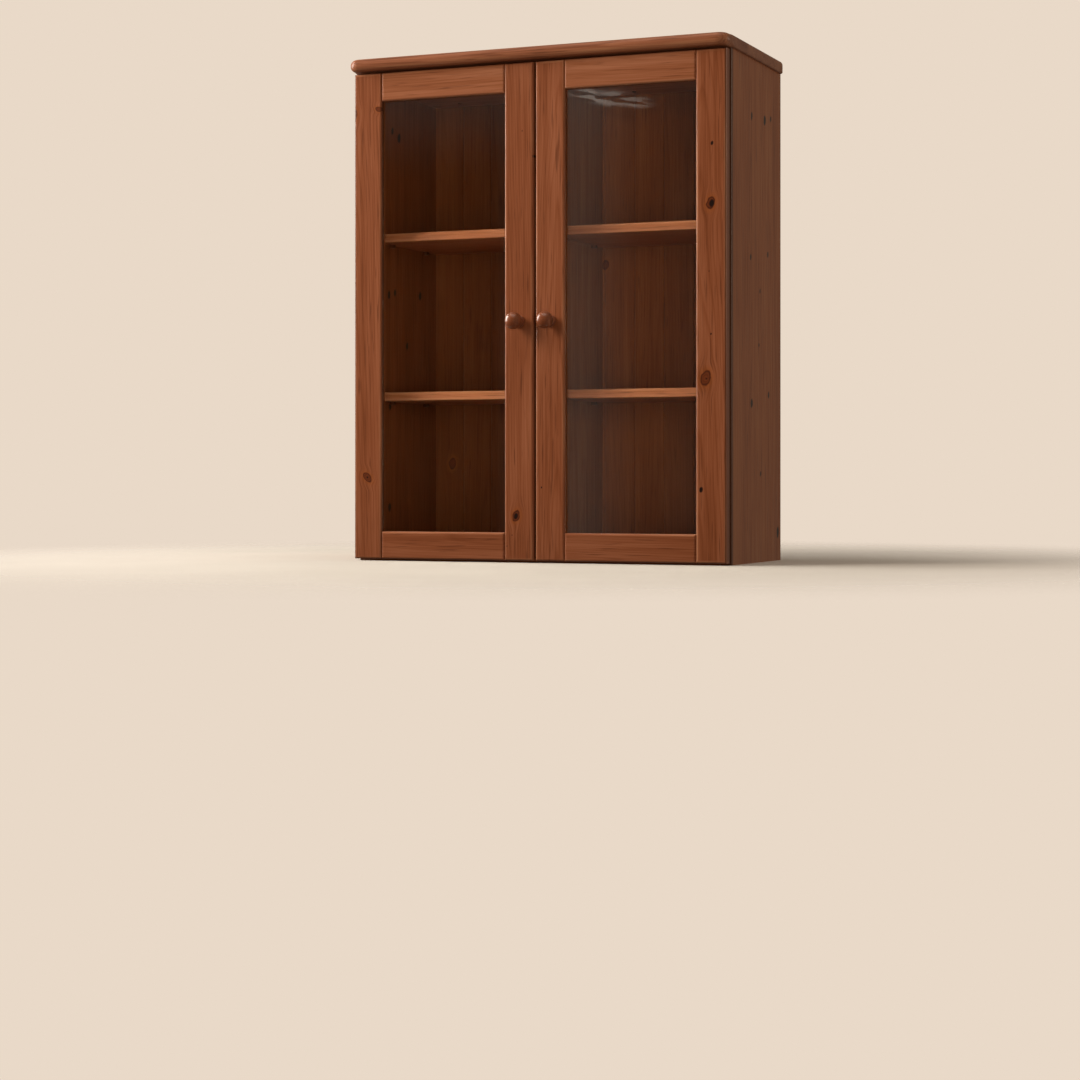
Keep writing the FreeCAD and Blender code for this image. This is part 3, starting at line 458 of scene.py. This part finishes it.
# %% [markdown]
# All that is uneven in pine is drawn out along the grain: the bends of its rings, its fibres, its broad
# streaks and the clouds in which it takes up stain. One kind of noise gives them all, and a size across
# and along the grain makes the difference. The real fibres and ducts are finer than a tenth of these
# sizes and would not show, so they are drawn as coarse as they need to be.

# %% Noise along the grain
# millimetres across the grain, millimetres along it, and the noise's detail
GRAIN_MM = {
    "bend": (111.1, 769.2, 2.0),
    "fibre": (2.381, 142.9, 3.0),
    "streak": (13.33, 833.3, 2.0),
    "cloud": (71.43, 250.0, 2.0),
    "duct": (3.333, 71.43, 1.0),
}


def grain_noise(board, feature):
    """Noise with the size that a feature of the grain has."""
    across, along, detail = GRAIN_MM[feature]
    sized = add_node(board.tree, "ShaderNodeMapping", {
        "Vector": board.moved, "Scale": (1000 / across, 1000 / across, 1000 / along),
    }).outputs[0]
    return add_node(board.tree, "ShaderNodeTexNoise", {
        "Vector": sized, "Scale": 1.0, "Detail": detail,
    }).outputs[0]


print("features of the grain:", ", ".join(GRAIN_MM))

# %% [markdown]
# A year's growth is a pale, soft band that ends in a thin line of dark late wood. The rings are counted
# by the distance from the heart of the trunk. The trunk tapers a little and isn't quite straight, and
# that is what closes the stripes to arches on a flat face.

# %% Yearly rings
RING_MM = 4.5
HEART = (-0.07, 0.025, 0)
TRUNK_TAPER = 0.025
RING_BEND = 0.03
LATE_WOOD = [(0.0, "000000"), (0.6, "303030"), (0.86, "FFFFFF"), (1.0, "000000")]


def yearly_rings(board):
    """The late wood of the rings, white where it is densest."""
    sideways = add_node(board.tree, "ShaderNodeMapping", {
        "Vector": board.moved, "Location": HEART, "Scale": (1, 1, 0),
    }).outputs[0]
    from_heart = add_node(board.tree, "ShaderNodeVectorMath", {
        0: sideways,
    }, operation="LENGTH").outputs["Value"]
    tapered = add_node(board.tree, "ShaderNodeMath", {
        0: board.along, 1: TRUNK_TAPER, 2: from_heart,
    }, operation="MULTIPLY_ADD").outputs[0]
    bent = add_node(board.tree, "ShaderNodeMath", {
        0: grain_noise(board, "bend"), 1: RING_BEND, 2: tapered,
    }, operation="MULTIPLY_ADD").outputs[0]
    years = add_node(board.tree, "ShaderNodeMath", {
        0: bent, 1: RING_MM / 1000,
    }, operation="DIVIDE").outputs[0]
    within_year = add_node(board.tree, "ShaderNodeMath", {0: years}, operation="FRACT").outputs[0]
    return add_node(board.tree, "ShaderNodeValToRGB", {0: within_year}, LATE_WOOD).outputs["Color"]


print("rings are", RING_MM, "mm wide")

# %% [markdown]
# The cabinet was stained one red brown, and some boards get a stain of their own. The doors' stain is
# faded and greyer, in part as painted sheen of their lacquer, and their top rails are worn. The crown's
# stain is rubbed and greyer, in part as painted sheen on its rounded nose. The sides and the divider have
# greyed. The shelves and the inner top are paler as painted light, and the back is deep, or dark as
# painted shade on the left.
# Rings, fibres, streaks and clouds are added up to one tone from light to dark, and a stain turns the
# tone to colour. One tone for all keeps the boards one kind of wood.

# %% Stains
STAINS = {
    # the doors' stain: faded, and greyer in part as painted sheen of their lacquer
    "faded_and_sheen": [(0.0, "9D6143"), (0.5, "894E30"), (1.0, "713B1E")],
    "worn": [(0.0, "A86D4F"), (0.5, "93593A"), (1.0, "7B4426")],
    # the crown's stain: rubbed, and greyer in part as painted sheen on its nose
    "rubbed_and_sheen": [(0.0, "AA7453"), (0.45, "945C40"), (1.0, "6B3B24")],
    "greyed": [(0.0, "8C5835"), (0.5, "7F4826"), (1.0, "6C3A1A")],
    # paler as painted light on the shelves and the inner top
    "pale": [(0.0, "B06C4A"), (0.5, "9F5C3B"), (1.0, "874928")],
    "deep": [(0.0, "8C522F"), (0.5, "7F4423"), (1.0, "6C3718")],
    # darker as painted shade on the sides' inner faces and the left back boards
    "dark": [(0.0, "7F4828"), (0.5, "733D1E"), (1.0, "613115")],
}
FIBRE_SHARE = 0.8
STREAK_SHARE = 0.8
CLOUD_SHARE = 0.7
STAVE_SHARE = 0.15
LIGHTEST_TONE = 0.92
DARKEST_TONE = 1.72


def tone_board(board, figure):
    """Adds up all that is uneven in the wood to one tone, from light to dark."""
    board.fibre = grain_noise(board, "fibre")
    board.cloud = grain_noise(board, "cloud")
    parts = (
        (yearly_rings(board), figure),
        (board.fibre, FIBRE_SHARE),
        (grain_noise(board, "streak"), STREAK_SHARE),
        (board.cloud, CLOUD_SHARE),
        (board.chance, STAVE_SHARE),
    )
    tone = 0.0
    for part, share in parts:
        tone = add_node(board.tree, "ShaderNodeMath", {
            0: part, 1: share, 2: tone,
        }, operation="MULTIPLY_ADD").outputs[0]
    board.tone = add_node(board.tree, "ShaderNodeMapRange", {
        "Value": tone, "From Min": LIGHTEST_TONE, "From Max": DARKEST_TONE,
    }).outputs[0]


def stained(board, stain):
    """The colour that a stain gives the board's tone."""
    return add_node(board.tree, "ShaderNodeValToRGB", {0: board.tone}, STAINS[stain]).outputs["Color"]


print("stains:", ", ".join(STAINS))

# %% [markdown]
# Over the stain come thin layers, each with a share of how far it covers and a colour. A side's inner
# face gets a darker stain as painted shade for the inside of the box, so the stain changes halfway
# through the board. Resin ducts in the wood show as short dark dashes along the grain.

# %% Inner faces and resin ducts
INNER_FROM_MIDDLE = 0.004
DUCT_SHARE = 0.5
DUCT_EDGE = (0.62, 0.74)


def shaded_inner_face(board, stain):
    """The half of a side that faces into the box, with a stain of its own, darker as painted shade."""
    to_inside = INNER_FROM_MIDDLE if board.middle.x > 0 else -INNER_FROM_MIDDLE
    share = add_node(board.tree, "ShaderNodeMapRange", {
        "Value": board.through, "From Min": -to_inside, "From Max": to_inside,
    }).outputs[0]
    return share, stained(board, stain)


def resin_ducts(board):
    """Dark dashes where the noise of the ducts is highest."""
    share = add_node(board.tree, "ShaderNodeMapRange", {
        "Value": grain_noise(board, "duct"), "From Min": DUCT_EDGE[0], "From Max": DUCT_EDGE[1],
        "To Min": 0.0, "To Max": DUCT_SHARE,
    }).outputs[0]
    return share, screen_colour("4A2310")


print("ducts cover up to", DUCT_SHARE)

# %% [markdown]
# A live knot has grown together with the wood. It is red brown with rings of its own and a dark line
# around it, and resin warms the wood outside. A dead knot was a dry branch that the trunk closed over.
# It drinks in the stain and comes out almost black. Many knots here are live ones with a dead middle,
# so both kinds can sit on one place.

# %% Live and dead knots
# soft edges from outside to inside, in radii of the knot
HALO_EDGE = (2.4, 1.3)
LIVE_EDGE = (1.45, 1.25)
DEAD_EDGE = (1.6, 1.1)
HALO_SHARE = 0.4
# one radius of a live knot takes up this much of the ramp of rings
KNOT_RINGS_SCALE = 0.7
KNOT_RINGS = [
    (0.2, "552814"), (0.38, "73391C"), (0.54, "5C2A14"),
    (0.68, "6C351A"), (0.84, "431F0F"), (0.95, "6A341A"),
]
DEAD_KNOT = [(0.3, "22140F"), (0.7, "120905")]


def live_knots(board, knots):
    """Two layers: wood warmed by resin, and ringed red brown knots on it."""
    nearest = nearest_knot(board, knots)
    halo = add_node(board.tree, "ShaderNodeMapRange", {
        "Value": nearest, "From Min": HALO_EDGE[0], "From Max": HALO_EDGE[1],
        "To Min": 0.0, "To Max": HALO_SHARE,
    }, interpolation_type="SMOOTHSTEP").outputs[0]
    ringed = add_node(board.tree, "ShaderNodeMath", {
        0: nearest, 1: KNOT_RINGS_SCALE,
    }, operation="MULTIPLY").outputs[0]
    rings = add_node(board.tree, "ShaderNodeValToRGB", {0: ringed}, KNOT_RINGS).outputs["Color"]
    within = add_node(board.tree, "ShaderNodeMapRange", {
        "Value": nearest, "From Min": LIVE_EDGE[0], "From Max": LIVE_EDGE[1],
    }, interpolation_type="SMOOTHSTEP").outputs[0]
    return [(halo, screen_colour("96501F")), (within, rings)]


def dead_knots(board, spots):
    """Almost black spots with a soft rim."""
    within = add_node(board.tree, "ShaderNodeMapRange", {
        "Value": nearest_knot(board, spots), "From Min": DEAD_EDGE[0], "From Max": DEAD_EDGE[1],
    }, interpolation_type="SMOOTHSTEP").outputs[0]
    black = add_node(board.tree, "ShaderNodeValToRGB", {0: board.fibre}, DEAD_KNOT).outputs["Color"]
    return within, black


print("tones of a live knot:", len(KNOT_RINGS), "of a dead one:", len(DEAD_KNOT))

# %% [markdown]
# Hands and dusters rub the stain thin along the arrises, more here and less there, and the paler arrises
# also stand in part as painted highlights on the rounded edges. Of a point's three distances to the faces
# of its board, the two smaller ones tell how close an arris is. Their sum needs no mesh data, so the wear
# stays in the finish. The clouds of the stain make it patchy.

# %% Rubbed arrises and painted highlights
# with other stains neither wear nor painted highlight shows along the arrises; the crown's own stain is
# rubbed all over, and greyer in part as painted sheen
WORN_AND_HIGHLIT_ARRISES = ("faded_and_sheen", "worn", "pale")
RUBBED_FROM = 0.0065
RUBBED_FULLY = 0.003
LEAST_RUBBED = 0.05
MOST_RUBBED = 0.6
PATCHES = (0.42, 0.62)


def rubbed_and_highlit_arrises(board):
    """Paler wood here and there along the arrises: wear, and in part a painted highlight."""
    from_middle = add_node(board.tree, "ShaderNodeVectorMath", {
        0: board.place,
    }, operation="ABSOLUTE").outputs[0]
    inwards = add_node(board.tree, "ShaderNodeVectorMath", {
        0: [part / 2 for part in board.size], 1: from_middle,
    }, operation="SUBTRACT").outputs[0]
    total = add_node(board.tree, "ShaderNodeVectorMath", {
        0: inwards, 1: (1, 1, 1),
    }, operation="DOT_PRODUCT").outputs["Value"]
    split = add_node(board.tree, "ShaderNodeSeparateXYZ", {0: inwards}).outputs
    most = add_node(board.tree, "ShaderNodeMath", {
        0: split["X"], 1: split["Y"],
    }, operation="MAXIMUM").outputs[0]
    most = add_node(board.tree, "ShaderNodeMath", {0: most, 1: split["Z"]}, operation="MAXIMUM").outputs[0]
    from_arris = add_node(board.tree, "ShaderNodeMath", {0: total, 1: most}, operation="SUBTRACT").outputs[0]
    near = add_node(board.tree, "ShaderNodeMapRange", {
        "Value": from_arris, "From Min": RUBBED_FROM, "From Max": RUBBED_FULLY,
    }, interpolation_type="SMOOTHSTEP").outputs[0]
    patchy = add_node(board.tree, "ShaderNodeMapRange", {
        "Value": board.cloud, "From Min": PATCHES[0], "From Max": PATCHES[1],
        "To Min": LEAST_RUBBED, "To Max": MOST_RUBBED,
    }).outputs[0]
    share = add_node(board.tree, "ShaderNodeMath", {0: near, 1: patchy}, operation="MULTIPLY").outputs[0]
    # a paler colour for wear, in part a painted highlight
    return share, screen_colour("B87D5A")


print("arrises are rubbed over", RUBBED_FROM * 1000, "mm")

# %% [markdown]
# Two things darken a board. The open pores of its end grain drink in more stain, which shows on the
# ends of the crown. And painted shade lies in the arrises on both sides of a gap, where the gap keeps
# light out. Each line of painted shade runs along the board, given by its x and y in millimetres, how
# far it reaches and the share it covers.

# %% End grain and painted shade in gaps
END_FROM = 0.006
END_FULLY = 0.001
SHADE_LINE_EDGE = (1.0, 0.25)
ALL_ALONG = 1000.0


def soaked_ends(board, covers):
    """Darker wood on the last millimetres of both ends."""
    from_middle = add_node(board.tree, "ShaderNodeMath", {0: board.along}, operation="ABSOLUTE").outputs[0]
    half_length = board.size[2] / 2
    share = add_node(board.tree, "ShaderNodeMapRange", {
        "Value": from_middle, "From Min": half_length - END_FROM, "From Max": half_length - END_FULLY,
        "To Min": 0.0, "To Max": covers,
    }, interpolation_type="SMOOTHSTEP").outputs[0]
    return share, screen_colour("3F2416")


def painted_gap_shade(board, x, y, reach, covers):
    """A dark line of painted shade that runs all along the board."""
    line = board.turn @ (Vector((x, y, 0)) / 1000 - board.middle)
    way = add_node(board.tree, "ShaderNodeMapping", {
        "Vector": board.place, "Location": line, "Scale": (reach / 1000, reach / 1000, ALL_ALONG),
    }, vector_type="TEXTURE").outputs[0]
    far = add_node(board.tree, "ShaderNodeVectorMath", {0: way}, operation="LENGTH").outputs["Value"]
    share = add_node(board.tree, "ShaderNodeMapRange", {
        "Value": far, "From Min": SHADE_LINE_EDGE[0], "From Max": SHADE_LINE_EDGE[1],
        "To Min": 0.0, "To Max": covers,
    }, interpolation_type="SMOOTHSTEP").outputs[0]
    # the colour of the painted shade in a gap
    return share, screen_colour("2C1307")


print("end grain shows on the last", END_FROM * 1000, "mm")

# %% [markdown]
# Last comes satin lacquer. It gives the eye a soft sheen that breaks up along the fibres, which still
# stand up a little under it. The shader's coat is the lacquer, and a faint bump from the fibres breaks
# the sheen. The bump is far below a millimetre, so it needs no geometry.

# %% Satin lacquer
# the noise of the fibres hardly leaves this range
FIBRE_RANGE = (0.3, 0.7)
SATIN = (0.36, 0.5)
FIBRE_LIFT = 0.0004
FIBRE_BUMP = 0.25
LACQUER = {"IOR": 1.5, "Specular IOR Level": 0.3, "Coat Weight": 0.12, "Coat Roughness": 0.2}


def lacquer_board(board, colour):
    """Satin lacquer over the board's colour."""
    rough = add_node(board.tree, "ShaderNodeMapRange", {
        "Value": board.fibre, "From Min": FIBRE_RANGE[0], "From Max": FIBRE_RANGE[1],
        "To Min": SATIN[0], "To Max": SATIN[1],
    }).outputs[0]
    relief = add_node(board.tree, "ShaderNodeBump", {
        "Height": board.fibre, "Strength": FIBRE_BUMP, "Distance": FIBRE_LIFT,
    }).outputs[0]
    shader = add_node(board.tree, "ShaderNodeBsdfPrincipled", {
        "Base Color": colour, "Roughness": rough, "Normal": relief, **LACQUER,
    })
    board.tree.links.new(shader.outputs["BSDF"], board.output.inputs["Surface"])


print("satin roughness:", SATIN)

# %% [markdown]
# A board's finish is all of this in order: the tree, the stain, the wear and painted highlight and
# shade, and the lacquer. Each layer covers the ones before it by its share. A plain board, the bottom
# rail of the left door, is dressed first to try it out.

# %% Stained pine
RAIL_FIGURE = 0.18
pine_boards = []


def stained_pine(piece, grain, seed, staves=1, stain="deep", figure=0.22, inner_shade_stain=None,
                 knots=(), spots=(), shade_lines=(), end_grain=0.0):
    """Pine stained red brown under satin lacquer, with the grain turned along the board."""
    board = lay_out_board(piece, grain, seed, staves)
    swell_around_knots(board, knots)
    tone_board(board, figure)
    layers = []
    if inner_shade_stain:
        layers.append(shaded_inner_face(board, inner_shade_stain))
    layers.append(resin_ducts(board))
    if knots:
        layers.extend(live_knots(board, knots))
    if spots:
        layers.append(dead_knots(board, spots))
    if stain in WORN_AND_HIGHLIT_ARRISES:
        layers.append(rubbed_and_highlit_arrises(board))
    if end_grain:
        layers.append(soaked_ends(board, end_grain))
    for line in shade_lines:
        layers.append(painted_gap_shade(board, *line))
    colour = stained(board, stain)
    for share, layer in layers:
        colour = add_node(board.tree, "ShaderNodeMix", {
            0: share, 6: colour, 7: layer,
        }, data_type="RGBA").outputs[2]
    lacquer_board(board, colour)
    dress(piece, board.finish)
    pine_boards.append(piece)


stained_pine("left_door_bottom_rail", "level", 47, stain="faded_and_sheen", figure=RAIL_FIGURE)
rail_nodes = bpy.data.materials["stained_pine_left_door_bottom_rail"].node_tree.nodes
print("a plain rail's finish has", len(rail_nodes), "nodes")

# %% [markdown]
# The stiles, rails and beads each come from a board of their own, so each gets its own seed. Stiles
# run upright and rails level, and the rails show less figure. The knots and dark spots sit where they
# show on the real doors. Lines of painted shade lie where a hinge stile meets the side, and on the left
# one beside the glass.

# %% Boards of the doors
DOOR_FACE = -191

stained_pine(
    "left_door_hinge_stile", "upright", 3, stain="faded_and_sheen",
    knots=[(-370, DOOR_FACE, 170, 7.5, -50), (-344, DOOR_FACE, 921, 5, 108), (-401, DOOR_FACE, 912, 8)],
    spots=[(-370, DOOR_FACE, 170, 1.6, -50)],
    shade_lines=[(-398.7, -189.7, 2.8, 0.8), (-400, -169, 6, 0.8), (-335, -180, 14, 0.75)],
)
stained_pine(
    "left_door_meeting_stile", "upright", 37, stain="faded_and_sheen",
    knots=[(-39, DOOR_FACE, 93, 7.5)],
    spots=[
        (-39.5, DOOR_FACE, 93, 4), (-48, DOOR_FACE, 55, 0.9), (-59, DOOR_FACE, 33, 0.8),
        (-2.5, DOOR_FACE, 808, 2), (-26, DOOR_FACE, 859, 0.9),
    ],
)
stained_pine(
    "right_door_hinge_stile", "upright", 131, stain="faded_and_sheen",
    knots=[(368, DOOR_FACE, 698, 8), (358, DOOR_FACE, 361, 10)],
    spots=[
        (370, DOOR_FACE, 697, 4.6), (360, DOOR_FACE, 360, 1.0), (349, DOOR_FACE, 146, 3.4),
        (371, DOOR_FACE, 813, 2.6), (369, DOOR_FACE, 446, 1.4), (365, DOOR_FACE, 567, 0.9),
    ],
    shade_lines=[(398.7, -189.7, 2.8, 0.45), (403, -180, 14, 0.5), (400, -169, 6, 0.7)],
)
stained_pine("right_door_meeting_stile", "upright", 11, stain="faded_and_sheen", spots=[(15.7, DOOR_FACE, 150, 1.3)])
stained_pine("left_door_top_rail", "level", 17, stain="worn", figure=RAIL_FIGURE)
stained_pine("right_door_top_rail", "level", 41, stain="worn", figure=RAIL_FIGURE,
             spots=[(63, DOOR_FACE, 977, 1.2)])
stained_pine("right_door_bottom_rail", "level", 23, stain="faded_and_sheen", figure=RAIL_FIGURE)
for side, seed in (("left", 53), ("right", 59)):
    stained_pine(side + "_door_glazing_beads", "upright", seed)
print("door boards dressed:", len(pine_boards))

# %% [markdown]
# The sides stand at both ends of the box and the divider in its middle. They are wide panels, so they
# are glued up from staves. Panels of this kind are cut from knotty pine: the dead knots show on the
# outside of the right side and on the inside of the left one. Their inner faces get the dark stain as
# painted shade for the inside of the box. Lines of painted shade lie along their front arrises too, on
# the other side of the gap.

# %% Sides and divider
PANEL_STAVES = 5
LEFT_OUTSIDE = -401
LEFT_INSIDE = -376
RIGHT_OUTSIDE = 400

stained_pine(
    "left_side", "upright_side", 91, staves=PANEL_STAVES, stain="greyed", inner_shade_stain="dark",
    knots=[(LEFT_OUTSIDE, -66, 742, 8), (LEFT_OUTSIDE, 88, 396, 9), (LEFT_OUTSIDE, 20, 120, 7)],
    spots=[
        (LEFT_INSIDE, -75, 552, 5.5), (LEFT_INSIDE, -47, 558, 5), (LEFT_INSIDE, 75, 560, 6),
        (LEFT_INSIDE, 11, 449, 5), (LEFT_INSIDE, -28, 885, 6.5), (LEFT_INSIDE, -59, 896, 5),
        (LEFT_INSIDE, -70, 319, 5), (LEFT_INSIDE, -72, 108, 6),
    ],
    shade_lines=[(-401.5, -164, 15, 0.8)],
)
stained_pine(
    "right_side", "upright_side", 101, staves=PANEL_STAVES, stain="greyed", inner_shade_stain="dark",
    spots=[
        (RIGHT_OUTSIDE, -35, 885, 5), (RIGHT_OUTSIDE, 51, 888, 6.5), (RIGHT_OUTSIDE, 92, 897, 4),
        (RIGHT_OUTSIDE, -42, 606, 4), (RIGHT_OUTSIDE, 72, 620, 4), (RIGHT_OUTSIDE, -35, 317, 6),
        (RIGHT_OUTSIDE, 78, 337, 4.5), (RIGHT_OUTSIDE, 24, 177, 3.5), (RIGHT_OUTSIDE, 141, 58, 7),
        (RIGHT_OUTSIDE, 20, 543, 3), (RIGHT_OUTSIDE, 13, 434, 2.5),
    ],
    shade_lines=[(401.5, -164, 15, 0.8)],
)
stained_pine("centre_divider", "upright_side", 111, staves=PANEL_STAVES, stain="greyed")
print("pine boards so far:", len(pine_boards))

# %% [markdown]
# The crown, the inner top, the shelves and the bottom lie flat, with their grain from left to right.
# The inner top and the shelves get the pale stain as painted light. The back is made of seven upright
# boards with tongues and grooves, each from its own plank. The three on the left get the dark stain as
# painted shade.

# %% Flat boards and back
CROWN_STAVES = 6
CROWN_END_GRAIN = 0.45
SHELF_SEEDS = {"left_lower": 121, "left_upper": 131, "right_lower": 141, "right_upper": 151}
BACK_FACE = 156
BACK_FIGURE = 0.16
BACK_SEEDS = range(207, 250, 7)
SHADED_BACK_BOARDS = 3
BACK_KNOTS = {1: [(-338, BACK_FACE, 201, 8)], 4: [(19, BACK_FACE, 620, 7)]}

stained_pine("crown_board", "flat", 61, staves=CROWN_STAVES, stain="rubbed_and_sheen", end_grain=CROWN_END_GRAIN)
stained_pine("inner_top", "flat", 71, staves=PANEL_STAVES, stain="pale")
stained_pine("bottom_board", "flat", 81, staves=PANEL_STAVES)
for name, seed in SHELF_SEEDS.items():
    stained_pine(name + "_shelf", "flat", seed, staves=PANEL_STAVES, stain="pale")
for count, seed in enumerate(BACK_SEEDS, start=1):
    stain = "dark" if count <= SHADED_BACK_BOARDS else "deep"
    stained_pine("back_board_" + str(count), "upright", seed, stain=stain, figure=BACK_FIGURE,
                 knots=BACK_KNOTS.get(count, ()))
print("pine boards in all:", len(pine_boards))

# %% [markdown]
# The panes are float glass, 4 mm thick, with a very faint green. It sets on molten tin, so it is flat
# and without marks, and needs no pattern. Glass that bends light would also stop the lamps from
# lighting the shelves, so rays towards a lamp pass straight through.

# %% Glass
# clear float glass: the eye gets what lies behind it, a little darker, and what it mirrors
glass, tree, output = new_finish("clear_float_glass")
pane = add_node(tree, "ShaderNodeBsdfPrincipled", {
    "Base Color": screen_colour("F6FAF7"), "Roughness": 0.0, "IOR": 1.52, "Transmission Weight": 1.0,
})
passing = add_node(tree, "ShaderNodeBsdfTransparent", {"Color": screen_colour("F2F7F4")})
ray = add_node(tree, "ShaderNodeLightPath")
both = add_node(tree, "ShaderNodeMixShader", {
    0: ray.outputs["Is Shadow Ray"], 1: pane.outputs["BSDF"], 2: passing.outputs["BSDF"],
})
tree.links.new(both.outputs["Shader"], output.inputs["Surface"])
panes = [side + "_door_glass" for side in ("left", "right")]
for piece in panes:
    dress(piece, glass)
print("panes dressed:", panes)

# %% [markdown]
# The knobs are turned from beech, stained darker than the frames and lacquered to a gloss. The lathe
# leaves the grain running along the knob's own axis, so the streaks run from front to back. Beech is
# too fine-grained for rings to show on something so small, and noise is enough.

# %% Lacquered knobs
# streaks of beech are finer than this, and are drawn coarser so that they show
KNOB_STREAK_MM = (2.0, 16.67, 2.0)
# gloss lacquer: a small sharp highlight over a soft one
GLOSS_LACQUER = {"IOR": 1.5, "Coat Weight": 0.8, "Coat Roughness": 0.1}
UNDER_THE_GLOSS = (0.3, 0.42)

knob_finish, tree, output = new_finish("gloss_lacquered_beech")
place = add_node(tree, "ShaderNodeTexCoord").outputs["Object"]
turned = add_node(tree, "ShaderNodeMapping", {
    "Vector": place, "Scale": [1000 / part for part in KNOB_STREAK_MM],
}).outputs[0]
streak = add_node(tree, "ShaderNodeTexNoise", {"Vector": turned, "Scale": 1.0, "Detail": 3.0}).outputs[0]
stain = add_node(tree, "ShaderNodeValToRGB", {0: streak}, [(0.3, "8E5031"), (0.7, "703B22")])
rough = add_node(tree, "ShaderNodeMapRange", {
    "Value": streak, "To Min": UNDER_THE_GLOSS[0], "To Max": UNDER_THE_GLOSS[1],
})
lacquer = add_node(tree, "ShaderNodeBsdfPrincipled", {
    "Base Color": stain.outputs["Color"], "Roughness": rough.outputs["Result"], **GLOSS_LACQUER,
})
tree.links.new(lacquer.outputs["BSDF"], output.inputs["Surface"])
knobs = [side + "_door_knob" for side in ("left", "right")]
for piece in knobs:
    dress(piece, knob_finish)
print("knobs dressed:", knobs)

# %% [markdown]
# The fittings are small and plain, yet none of them is one flat colour. Each finish mixes two close
# colours by a noise as coarse as the real one's crystals, grit or brush marks, and the same noise
# changes how sharp the shine is. One helper makes them all, because only their values differ.

# %% Helper for the fittings
SPECK_BUMP = 0.3
# the noise of the specks hardly leaves this range
SPECK_RANGE = (0.3, 0.7)


def fitting_finish(name, light, dark, speck_mm, rough, stretch=(1, 1, 1), lift_mm=0.0, **constants):
    """A finish from two colours and a noise with specks of a real size."""
    finish, tree, output = new_finish(name)
    place = add_node(tree, "ShaderNodeTexCoord").outputs["Object"]
    scale = [1000 / speck_mm / part for part in stretch]
    sized = add_node(tree, "ShaderNodeMapping", {"Vector": place, "Scale": scale}).outputs[0]
    speck = add_node(tree, "ShaderNodeTexNoise", {"Vector": sized, "Scale": 1.0, "Detail": 2.0}).outputs[0]
    colour = add_node(tree, "ShaderNodeValToRGB", {0: speck}, list(zip(SPECK_RANGE, (light, dark))))
    shine = add_node(tree, "ShaderNodeMapRange", {
        "Value": speck, "From Min": SPECK_RANGE[0], "From Max": SPECK_RANGE[1],
        "To Min": rough[0], "To Max": rough[1],
    })
    relief = add_node(tree, "ShaderNodeBump", {
        "Height": speck, "Strength": SPECK_BUMP, "Distance": lift_mm / 1000,
    })
    shader = add_node(tree, "ShaderNodeBsdfPrincipled", {
        "Base Color": colour.outputs["Color"], "Roughness": shine.outputs["Result"],
        "Normal": relief.outputs["Normal"], **constants,
    })
    tree.links.new(shader.outputs["BSDF"], output.inputs["Surface"])
    return finish


print("bump of the specks:", SPECK_BUMP)

# %% [markdown]
# Six materials are enough for all fittings: zinc on screws, nails and hinge arms, nickel on hinge cups,
# brown lacquer on what should hardly show, brown plastic, clear rubber and bare beech. Each starts from
# the values that such a material usually has.

# %% Finishes of the fittings
# zinc grows in small crystals, which give bright steel a faint mottle
zinc = fitting_finish("bright_zinc_steel", "C9CBCC", "A4A7AA", 1.5, (0.28, 0.42), Metallic=1.0)
# nickel is polished before plating, so only fine lines are left
nickel = fitting_finish("satin_nickel", "CFC9BE", "B3ADA2", 0.4, (0.18, 0.28),
                        stretch=(1, 1, 30), Metallic=1.0)
# baked brown lacquer pulls a little as it dries, like orange peel
browned = fitting_finish("brown_lacquered_steel", "5C321C", "4A2614", 1.2, (0.38, 0.5),
                         lift_mm=0.05, IOR=1.5)
# a spark-eroded mould leaves a fine even grit on the plastic
plastic = fitting_finish("brown_moulded_plastic", "3D261B", "301C13", 0.5, (0.4, 0.5),
                         lift_mm=0.03, IOR=1.46)
# cast clear rubber is cloudy inside and slightly matt
rubber = fitting_finish("clear_rubber", "EFEBE2", "DFD9CC", 2.0, (0.3, 0.4),
                        IOR=1.45, **{"Transmission Weight": 0.5})
# planed beech is pale, with short darker flecks along the grain
beech = fitting_finish("bare_beech", "D3AE80", "B98C5A", 0.8, (0.5, 0.65),
                       stretch=(6, 1, 1), lift_mm=0.05, IOR=1.5)
print("finishes:", [finish.name for finish in (zinc, nickel, browned, plastic, rubber, beech)])

# %% [markdown]
# Each fitting's name says what it is, so a word in the name picks its finish. Some names hold two of
# the words, as the catch magnets do. The first word in the list wins, and so the narrower words come
# before the wider ones.

# %% Dress the fittings
FITTINGS = {
    "crown_screws": browned, "screw": zinc, "nails": zinc, "pins": zinc, "magnets": zinc,
    "strike_plate": zinc, "hinge_arm": zinc, "hinge_cup": nickel, "wall_bracket": browned,
    "shelf_supports": browned, "catch": plastic, "buffers": rubber, "dowels": beech,
}
dressed = []
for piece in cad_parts:
    words = [word for word in FITTINGS if word in piece]
    if words:
        dress(piece, FITTINGS[words[0]])
        dressed.append(piece)
print("fittings dressed:", len(dressed))
print("pieces dressed in all:", len(pine_boards) + len(panes) + len(knobs) + len(dressed))
